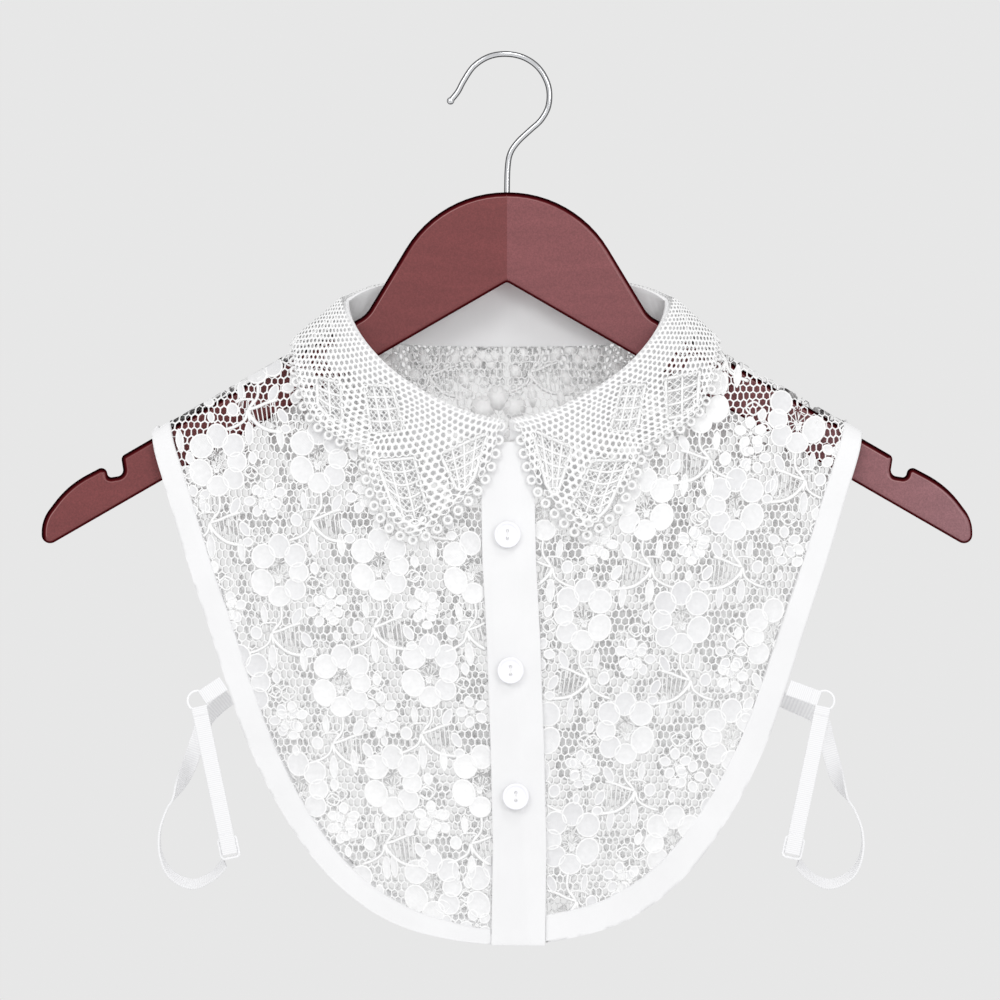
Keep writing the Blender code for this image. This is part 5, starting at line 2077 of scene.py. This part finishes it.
@dataclass(frozen=True)
class ShirtButton:
    """A two-hole shirt button with a raised rim, sewn on with its holes upright."""

    node: str
    x: float
    z: float
    width: float = 12.5
    thickness: float = 2.6
    rim: float = 1.5
    dish: float = 0.55
    hole: float = 1.5
    hole_pitch: float = 3.7

    def centre(self) -> Vector:
        """The button's middle, just off the deepest part of the strip under it."""
        reach = self.width / 2
        faces = [
            FORM.flat_front(self.x + i * reach, self.z + j * reach, 2.0 + FORM.seam).y
            for i in (-1, 0, 1)
            for j in (-1, 0, 1)
        ]
        return Vector((self.x, min(faces) - self.thickness / 2, self.z))

    def build(self) -> list[bpy.types.Object]:
        """The button and its sewing thread."""
        centre = self.centre()
        deselect_all()
        bpy.ops.mesh.primitive_cylinder_add(
            vertices=64,
            radius=self.width / 2 * MM,
            depth=self.thickness * MM,
            location=centre * MM,
            rotation=(math.radians(90.0), 0.0, 0.0),
        )
        item = bpy.context.object
        item.name = item.data.name = self.node + "_dished"
        bpy.ops.object.transform_apply(location=True, rotation=True, scale=True)
        bpy.ops.object.mode_set(mode="EDIT")
        pick_faces(item, lambda face: face.normal.y < -0.9)
        bpy.ops.mesh.inset(thickness=self.rim * 0.62 * MM)
        bpy.ops.mesh.inset(thickness=self.rim * 0.38 * MM, depth=-self.dish * MM)
        bpy.ops.mesh.inset(thickness=1.1 * MM, depth=-0.1 * MM)
        bpy.ops.object.mode_set(mode="OBJECT")
        soft = item.modifiers.new("tumbled edges", "BEVEL")
        soft.width = 0.42 * MM
        soft.segments = 3
        soft.limit_method = "ANGLE"
        soft.angle_limit = math.radians(20.0)
        apply_modifier(item, soft.name)
        for sign in (-1, 1):
            deselect_all()
            place = centre + Vector((0.0, 0.0, sign * self.hole_pitch / 2))
            bpy.ops.mesh.primitive_cylinder_add(
                vertices=24,
                radius=self.hole / 2 * MM,
                depth=self.thickness * 3 * MM,
                location=place * MM,
                rotation=(math.radians(90.0), 0.0, 0.0),
            )
            drill = bpy.context.object
            cut = item.modifiers.new("drilled hole", "BOOLEAN")
            cut.operation = "DIFFERENCE"
            cut.solver = "EXACT"
            cut.object = drill
            apply_modifier(item, cut.name)
            bpy.data.objects.remove(drill, do_unlink=True)
        select_only(item)
        bpy.ops.object.shade_smooth_by_angle(angle=math.radians(35.0))
        dress(item, Finish.RESIN, self.node)
        return [item, self.thread(centre)]

    def thread(self, centre: Vector) -> bpy.types.Object:
        """The stitches from hole to hole."""
        front = centre.y - self.thickness / 2 + self.dish + 0.1
        mesh = SewnMesh(lambda x, z, proud: Vector((centre.x + x, front - proud, centre.z + z)))
        reach = self.hole_pitch / 2
        for offset in (-0.28, 0.0, 0.28):
            line = [(offset * (1 - abs(t) * 0.4), t * reach) for t in (-1.0, -0.6, 0.0, 0.6, 1.0)]
            mesh.cord(line, 0.34, -0.25, 0.3)
        for sign in (-1, 1):
            plug = Motif(0.0, sign * reach, self.hole * 0.46, self.hole * 0.46)
            mesh.patch(plug.outline(12), -0.35, -0.3, -0.9, 0.0, 0.2)
        return mesh.make(self.node + "_thread", Finish.GUIPURE_LACE)


class TapeRow(NamedTuple):
    """A point of a tape's line with its roll in degrees."""

    x: float
    y: float
    z: float
    turn: float


LOOP_ROWS = (
    (134.6, -20.0, -385.2, 55.0), (140.6, -16.5, -391.6, 60.0), (150.4, -13.0, -395.6, 52.0),
    (160.4, -10.5, -391.0, 62.0), (165.6, -8.5, -381.0, 82.0), (166.0, -7.0, -370.5, 88.0),
    (163.2, -5.0, -361.0, 90.0), (160.0, -3.0, -355.2, 88.0), (156.0, -1.0, -347.5, 45.0),
    (152.0, 1.5, -338.5, 12.0), (147.8, 4.5, -326.5, 0.0), (143.6, 7.5, -316.0, 0.0),
)
LOOP_SHIFT_RIGHT = (4.2, 4.0, 3.7, 4.0, 4.0, 3.8, 3.4, 3.2, 3.2, 4.2, 5.0, 5.4)


@dataclass(frozen=True)
class SideStrap:
    """One side's elastic: a tab with its ring, a doubled strap, a slider and a loop to the back."""

    side: Side
    tab_z: float
    tab_clear: float
    ring_x: float
    ring_z: float
    slider_x: float
    slider_z: float
    back_z: float
    back_clear: float
    width: float = 7.5
    wall: float = 1.1
    ring_width: float = 10.6
    ring_wire: float = 1.1
    slider_width: float = 10.0
    slider_height: float = 11.4
    slider_wire: float = 1.5
    slider_corner: float = 1.6

    def tape(self, name: str, rows: Sequence[TapeRow], wall: float, nodes: Sequence[str]) -> bpy.types.Object:
        """A ribbed elastic tape along a line.

        Args:
            name: the piece's name.
            rows: the tape's middle line with its roll.
            wall: its thickness.
            nodes: the CAD nodes it stands for.

        Returns:
            The dressed tape.
        """
        steps = max(3, round(line_length([Vector(r[:3]) for r in rows]) / 0.45 / (len(rows) - 1)))
        line = curve_through([row[:3] for row in rows], steps)
        turns = curve_through([(row.turn, 0.0, 0.0) for row in rows], steps)
        count = len(line) - 1
        length = line_length(line)

        def place(u: float, v: float) -> Vector:
            """The tape's middle surface, with a finely notched edge."""
            index = round(u * count)
            along = (line[min(index + 1, count)] - line[max(index - 1, 0)]).normalized()
            across = along.cross(Vector((0.0, 1.0, 0.0))).normalized()
            across.rotate(Matrix.Rotation(math.radians(turns[index].x), 3, along))
            edge = abs(v - 0.5) * 2
            notch = 0.16 * math.sin(2 * math.pi * u * length / 1.9) * edge**6
            return line[index] + across * ((v - 0.5) * (self.width + notch))

        return cloth_wall(name, Finish.ELASTIC, place, count, 10, wall, nodes, (length, self.width), 0.0)

    def anchors(self) -> tuple[Vector, Vector, Vector]:
        """The tab's root, the ring's middle and the slider's middle."""
        sign = self.side.value
        edge_x = sign * abs(FORM.outline_x(self.tab_z))
        y = -FORM.depth(edge_x, self.tab_z, FORM.front_swell)
        root = Vector((edge_x + sign * self.tab_clear, y, self.tab_z))
        return root, Vector((self.ring_x, y, self.ring_z)), Vector((self.slider_x, y, self.slider_z))

    def wire_frame(self, slider: Vector, down: Vector) -> bpy.types.Object:
        """The slider: a rounded wire frame with a bar across its middle."""
        up = Vector((-down.x, 0.0, -down.z))
        across = Vector((up.z, 0.0, -up.x))
        wire = self.slider_wire
        half_wide = (self.slider_width - wire) / 2
        half_high = (self.slider_height - wire) / 2
        corner = self.slider_corner
        points = []
        for x, z, start in ((1, 1, 0.0), (-1, 1, 90.0), (-1, -1, 180.0), (1, -1, 270.0)):
            middle = slider + across * (x * (half_wide - corner)) + up * (z * (half_high - corner))
            for step in range(7):
                angle = math.radians(start + 15.0 * step)
                points.append(middle + (across * math.cos(angle) + up * math.sin(angle)) * corner)
        bar = [slider - across * half_wide, slider + across * half_wide]
        item = bent_wire(f"slider_frame_{self.side.word}", ((points, True), (bar, False)), wire, 3)
        item.data.shade_smooth()
        return dress(item, Finish.COATED_METAL, f"slider_{self.side.word}")

    def build(self) -> list[bpy.types.Object]:
        """Every piece of this side."""
        word, sign = self.side.word, self.side.value
        root, ring, slider = self.anchors()
        toward = (root - ring).normalized()
        reach = self.ring_width / 2 + FORM.seam
        tab_end = ring + toward * reach
        rows = [TapeRow(*root.lerp(tab_end, step / 3), 0.0) for step in range(4)]
        made = [self.tape(f"elastic_tab_{word}", rows, 1.6, [f"tab_{word}"])]

        deselect_all()
        bpy.ops.mesh.primitive_torus_add(
            major_segments=64,
            minor_segments=16,
            major_radius=(self.ring_width - self.ring_wire) / 2 * MM,
            minor_radius=self.ring_wire / 2 * MM,
            location=ring * MM,
            rotation=(math.radians(90.0), 0.0, 0.0),
        )
        torus = bpy.context.object
        torus.name = torus.data.name = f"wire_ring_{word}"
        torus.data.shade_smooth()
        settle(torus)
        made.append(dress(torus, Finish.COATED_METAL, f"ring_{word}"))

        down = (slider - ring).normalized()
        start = ring + down * reach
        end = slider - down * (self.slider_height / 2 + FORM.seam)
        rows = [TapeRow(*start.lerp(end, step / 6), 0.0) for step in range(7)]
        made.append(self.tape(f"elastic_front_{word}", rows, 2.2, [f"strap_front_{word}"]))
        made.append(self.wire_frame(slider, down))
        for name, low, high, wall in (
            (f"tab_fold_{word}", ring + toward * 2.5, tab_end + toward * 1.2, 2.3),
            (f"strap_fold_{word}", ring + down * 2.7, start + down * 1.6, 2.6),
            (f"strap_over_bar_{word}", end - down * 0.4, slider + down * 3.4, 2.0),
        ):
            rows = [TapeRow(*low.lerp(high, step / 2), 0.0) for step in range(3)]
            if name.startswith("strap_over"):
                rows = [row._replace(y=row.y - 1.2) for row in rows]
            made.append(self.tape(name, rows, wall, []))

        rows = []
        for (x, y, z, turn), shift in zip(LOOP_ROWS, LOOP_SHIFT_RIGHT):
            x = -x if sign < 0 else x + shift
            rows.append(TapeRow(x, y, z, -sign * turn))
        back_x = sign * (abs(FORM.outline_x(self.back_z)) + self.back_clear)
        rows.append(TapeRow(back_x, FORM.depth(back_x, self.back_z, FORM.back_swell), self.back_z, 0.0))
        made.append(self.tape(f"elastic_loop_{word}", rows, self.wall, [f"strap_loop_{word}"]))
        return made


# Hanger


HOOK_LINE = (
    (-27.0, -21.0), (-23.5, -16.6), (-20.6, -11.2), (-15.8, -4.4), (-8.5, 0.2), (0.0, 1.4), (8.5, -0.5),
    (15.5, -5.7), (19.8, -14.0), (19.9, -23.0), (16.4, -30.0), (11.0, -35.1), (5.4, -40.4), (1.8, -45.6),
    (0.4, -52.0), (0.0, -64.0), (0.0, -84.6),
)


class WoodCorner(NamedTuple):
    """A corner of the hanger's outline, and the radius it is rounded to."""

    x: float
    z: float
    radius: float


HANGER_HALF = (
    WoodCorner(222.6, -235.6, 4.0),
    WoodCorner(222.6, -221.5, 18.0),
    WoodCorner(210.0, -204.8, 46.0),
    WoodCorner(192.2, -195.4, 2.7),
    WoodCorner(190.8, -201.4, 2.0),
    WoodCorner(183.2, -200.2, 3.0),
    WoodCorner(184.6, -191.2, 2.7),
    WoodCorner(67.4, -123.4, 14.0),
    WoodCorner(32.1, -64.8, 56.0),
)
HANGER_APEX = WoodCorner(0.0, -107.6, 2.0)


@dataclass(frozen=True)
class WoodenHanger:
    """The lacquered hanger in two glued halves, and its chromed hook."""

    wire: float = 2.8
    ball: float = 3.6
    thickness: float = 12.0
    edge_round: float = 2.5
    joint: float = 0.002
    bore: float = 3.4
    bore_top: float = -50.0
    bore_bottom: float = -85.4
    block: float = 260.0
    corner_steps: int = 12
    round_steps: int = 5

    def outline(self) -> list[Flat]:
        """The whole hanger's outline with every corner rounded."""
        left = [WoodCorner(-corner.x, corner.z, corner.radius) for corner in reversed(HANGER_HALF)]
        corners = [HANGER_APEX, *HANGER_HALF, *left]
        points = []
        for index, corner in enumerate(corners):
            here = Vector((corner.x, corner.z))
            before, after = corners[index - 1], corners[(index + 1) % len(corners)]
            back = (Vector((before.x, before.z)) - here).normalized()
            ahead = (Vector((after.x, after.z)) - here).normalized()
            half = back.angle(ahead) / 2
            middle = here + (back + ahead).normalized() * (corner.radius / math.sin(half))
            start = here + back * (corner.radius / math.tan(half)) - middle
            end = here + ahead * (corner.radius / math.tan(half)) - middle
            turn = start.angle_signed(end)
            for step in range(self.corner_steps + 1):
                spoke = start.copy()
                spoke.rotate(Matrix.Rotation(-turn * step / self.corner_steps, 2))
                points.append(tuple(middle + spoke))
        return points

    def build_half(self, side: Side) -> bpy.types.Object:
        """One glued half: the outline extruded with round edges, cut at the joint and bored for the hook."""
        name = f"wooden_half_{side.word}"
        curve = bpy.data.curves.new(name, "CURVE")
        curve.dimensions = "2D"
        curve.fill_mode = "BOTH"
        curve.extrude = (self.thickness / 2 - self.edge_round) * MM
        curve.bevel_depth = self.edge_round * MM
        curve.bevel_resolution = self.round_steps
        curve.offset = -self.edge_round * MM
        loop = self.outline()
        spline = curve.splines.new("POLY")
        spline.points.add(len(loop) - 1)
        for point, (x, z) in zip(spline.points, loop):
            point.co = (x * MM, z * MM, 0.0, 1.0)
        spline.use_cyclic_u = True
        item = bpy.data.objects.new(name, curve)
        item.rotation_euler = (math.radians(90.0), 0.0, 0.0)
        item = curve_to_mesh(item)
        settle(item)
        item.select_set(True)
        bpy.ops.object.mode_set(mode="EDIT")
        bpy.ops.mesh.select_all(action="SELECT")
        bpy.ops.mesh.remove_doubles(threshold=0.001 * MM)
        bpy.ops.mesh.normals_make_consistent(inside=False)
        bpy.ops.object.mode_set(mode="OBJECT")
        deselect_all()
        block = self.block
        bpy.ops.mesh.primitive_cube_add(
            size=block * MM, location=(side.value * (block / 2 + self.joint) * MM, 0.0, -block / 2 * MM)
        )
        self.carve(item, bpy.context.object, "INTERSECT")
        deselect_all()
        length = self.bore_top - self.bore_bottom
        bpy.ops.mesh.primitive_cylinder_add(
            vertices=32,
            radius=self.bore / 2 * MM,
            depth=length * MM,
            location=(0.0, 0.0, (self.bore_bottom + length / 2) * MM),
        )
        self.carve(item, bpy.context.object, "DIFFERENCE")
        item.name = item.data.name = name
        self.mark_edges(item)
        return dress(item, Finish.WOOD, f"hanger_{side.word}")

    def carve(self, item: bpy.types.Object, tool: bpy.types.Object, operation: str) -> None:
        """Cuts a piece with another one or joins them, and takes the other one away."""
        cut = item.modifiers.new("carved", "BOOLEAN")
        cut.operation = operation
        cut.solver = "EXACT"
        cut.object = tool
        apply_modifier(item, cut.name)
        bpy.data.objects.remove(tool, do_unlink=True)

    def mark_edges(self, item: bpy.types.Object) -> None:
        """Notes for the lacquer's painted shade and highlight where the round edges are, and which of them
        face up and to the left, where the painted shade is wider and darker.
        """
        mesh = item.data
        mesh.shade_smooth()
        for face in mesh.polygons:
            face.use_smooth = abs(face.normal.y) < 0.999 and abs(face.normal.x) < 0.999
        bends, aboves = [], []
        for point, normal in zip(mesh.vertices, mesh.vertex_normals):
            deep = clamp((self.thickness / 2 - abs(point.co.y) / MM) / self.edge_round)
            bends.append(math.acos(1.0 - deep) / math.radians(90.0))
            flat = math.hypot(normal.vector.x, normal.vector.z) or 1.0
            aboves.append(clamp(0.5 + 1.2 * (normal.vector.z - 0.8 * normal.vector.x) / flat))
        for word, values in (("bend", bends), ("above", aboves)):
            mesh.attributes.new(word, "FLOAT", "POINT").data.foreach_set("value", values)

    def build_hook(self) -> bpy.types.Object:
        """The bent hook with its rounded end."""
        name = "bent_hook"
        line = curve_through([(x, 0.0, z) for x, z in HOOK_LINE], 10)
        item = bent_wire(name, ((line, False),), self.wire, 6)
        deselect_all()
        end = HOOK_LINE[0]
        bpy.ops.mesh.primitive_uv_sphere_add(
            segments=32, ring_count=20, radius=self.ball / 2 * MM, location=(end[0] * MM, 0.0, end[1] * MM)
        )
        ball = bpy.context.object
        self.carve(item, ball, "UNION")
        select_only(item)
        bpy.ops.object.shade_smooth_by_angle(angle=math.radians(50.0))
        item.name = item.data.name = name
        return dress(item, Finish.CHROME, "hanger_hook")


# Studio


@dataclass(frozen=True)
class Studio:
    """A pale floor, soft light and a long lens straight in front, as in the photograph."""

    view_width: float = 478.5
    view_x: float = -3.35
    view_z: float = -212.0
    distance: float = 10000.0
    floor_z: float = -640.0

    def build(self) -> None:
        """Floor, world, lamps and camera."""
        deselect_all()
        bpy.ops.mesh.primitive_plane_add(size=3.0, location=(0.0, 0.0, self.floor_z * MM))
        floor = bpy.context.object
        floor.name = "studio_floor"
        settle(floor)
        floor.data.materials.append(Finish.PAPER.material)

        world = bpy.data.worlds.new("pale studio")
        world.use_nodes = True
        world.node_tree.nodes["Background"].inputs["Color"].default_value = (1.0, 1.0, 1.0, 1.0)
        world.node_tree.nodes["Background"].inputs["Strength"].default_value = 0.8
        bpy.context.scene.world = world

        for name, place, size, power in (
            ("high key", (-900.0, -1800.0, 800.0), 0.9, 7.0),
            ("right fill", (900.0, -2200.0, 250.0), 0.7, 8.0),
            ("neck light", (200.0, -1300.0, 1400.0), 0.6, 5.0),
        ):
            light = bpy.data.lights.new(name, "AREA")
            light.shape = "DISK"
            light.size = size
            light.energy = power
            lamp = bpy.data.objects.new(name, light)
            lamp.location = Vector(place) * MM
            aim = Vector((0.0, 0.0, -230.0)) - Vector(place)
            lamp.rotation_mode = "QUATERNION"
            lamp.rotation_quaternion = aim.to_track_quat("-Z", "Y")
            bpy.context.scene.collection.objects.link(lamp)

        lens = bpy.data.cameras.new("front view")
        lens.sensor_width = 36.0
        lens.lens = 36.0 * self.distance / self.view_width
        lens.clip_start = 0.1
        lens.clip_end = 30.0
        camera = bpy.data.objects.new("front view", lens)
        camera.location = Vector((self.view_x, -self.distance, self.view_z)) * MM
        camera.rotation_euler = (math.radians(90.0), 0.0, 0.0)
        bpy.context.scene.collection.objects.link(camera)
        bpy.context.scene.camera = camera
        bpy.context.scene.view_settings.view_transform = "Standard"


LEFT_FLOWERS = (
    (218, 463), (319, 460), (420, 457), (280, 573), (380, 567), (472, 570), (342, 683), (430, 673),
    (393, 783), (481, 783), (433, 887), (180, 573), (242, 683), (300, 790), (345, 893), (256, 350),
    (155, 462), (356, 350), (495, 893),
)
RIGHT_FLOWERS = (
    (645, 507), (735, 507), (797, 420), (583, 617), (681, 620), (773, 637), (625, 730), (731, 737),
    (571, 840), (673, 843), (850, 520), (545, 507), (700, 400), (600, 400), (532, 730), (765, 850),
    (540, 950), (620, 950), (880, 420), (720, 300),
)


def report(pieces: bpy.types.Object | Sequence[bpy.types.Object]) -> None:
    """Logs each piece with its face count."""
    for item in pieces if isinstance(pieces, (list, tuple)) else [pieces]:
        LOG.info("%s: %d faces", item.name, len(item.data.polygons))


def main() -> None:
    """Builds the collar, its hanger and the studio in order."""
    logging.basicConfig(level=logging.INFO, format="%(name)s: %(message)s")
    hanger = WoodenHanger()
    report([hanger.build_half(side) for side in Side])
    report(hanger.build_hook())
    fronts = (
        LaceFront(Side.LEFT, LEFT_FLOWERS, ((0.0, 10.0), (0.5, 11.5), (0.85, 10.0), (1.0, 7.0))),
        LaceFront(Side.RIGHT, RIGHT_FLOWERS, ((0.0, 10.0), (0.5, 12.0), (0.85, 13.5), (1.0, 13.0))),
    )
    back = LaceBack()
    report(back.build_lace())
    report(back.build_binding())
    for front in fronts:
        report(front.build_lace())
        report(front.build_binding())
    report(ButtonStand().build())
    report(CollarStand().build())
    for side in Side:
        report(GuipureFall(side).build())
    for button in (
        ShirtButton("button_top", 0.2, -228.5),
        ShirtButton("button_middle", 1.7, -293.2),
        ShirtButton("button_bottom", 4.2, -353.3),
    ):
        report(button.build())
    for strap in (
        SideStrap(Side.LEFT, -299.5, 1.2, -147.7, -307.8, -132.8, -377.9, -306.0, 0.85),
        SideStrap(Side.RIGHT, -301.5, 0.9, 151.5, -307.8, 136.7, -377.9, -307.5, 0.5),
    ):
        report(strap.build())
    Studio().build()


if __name__ == "__main__":
    main()
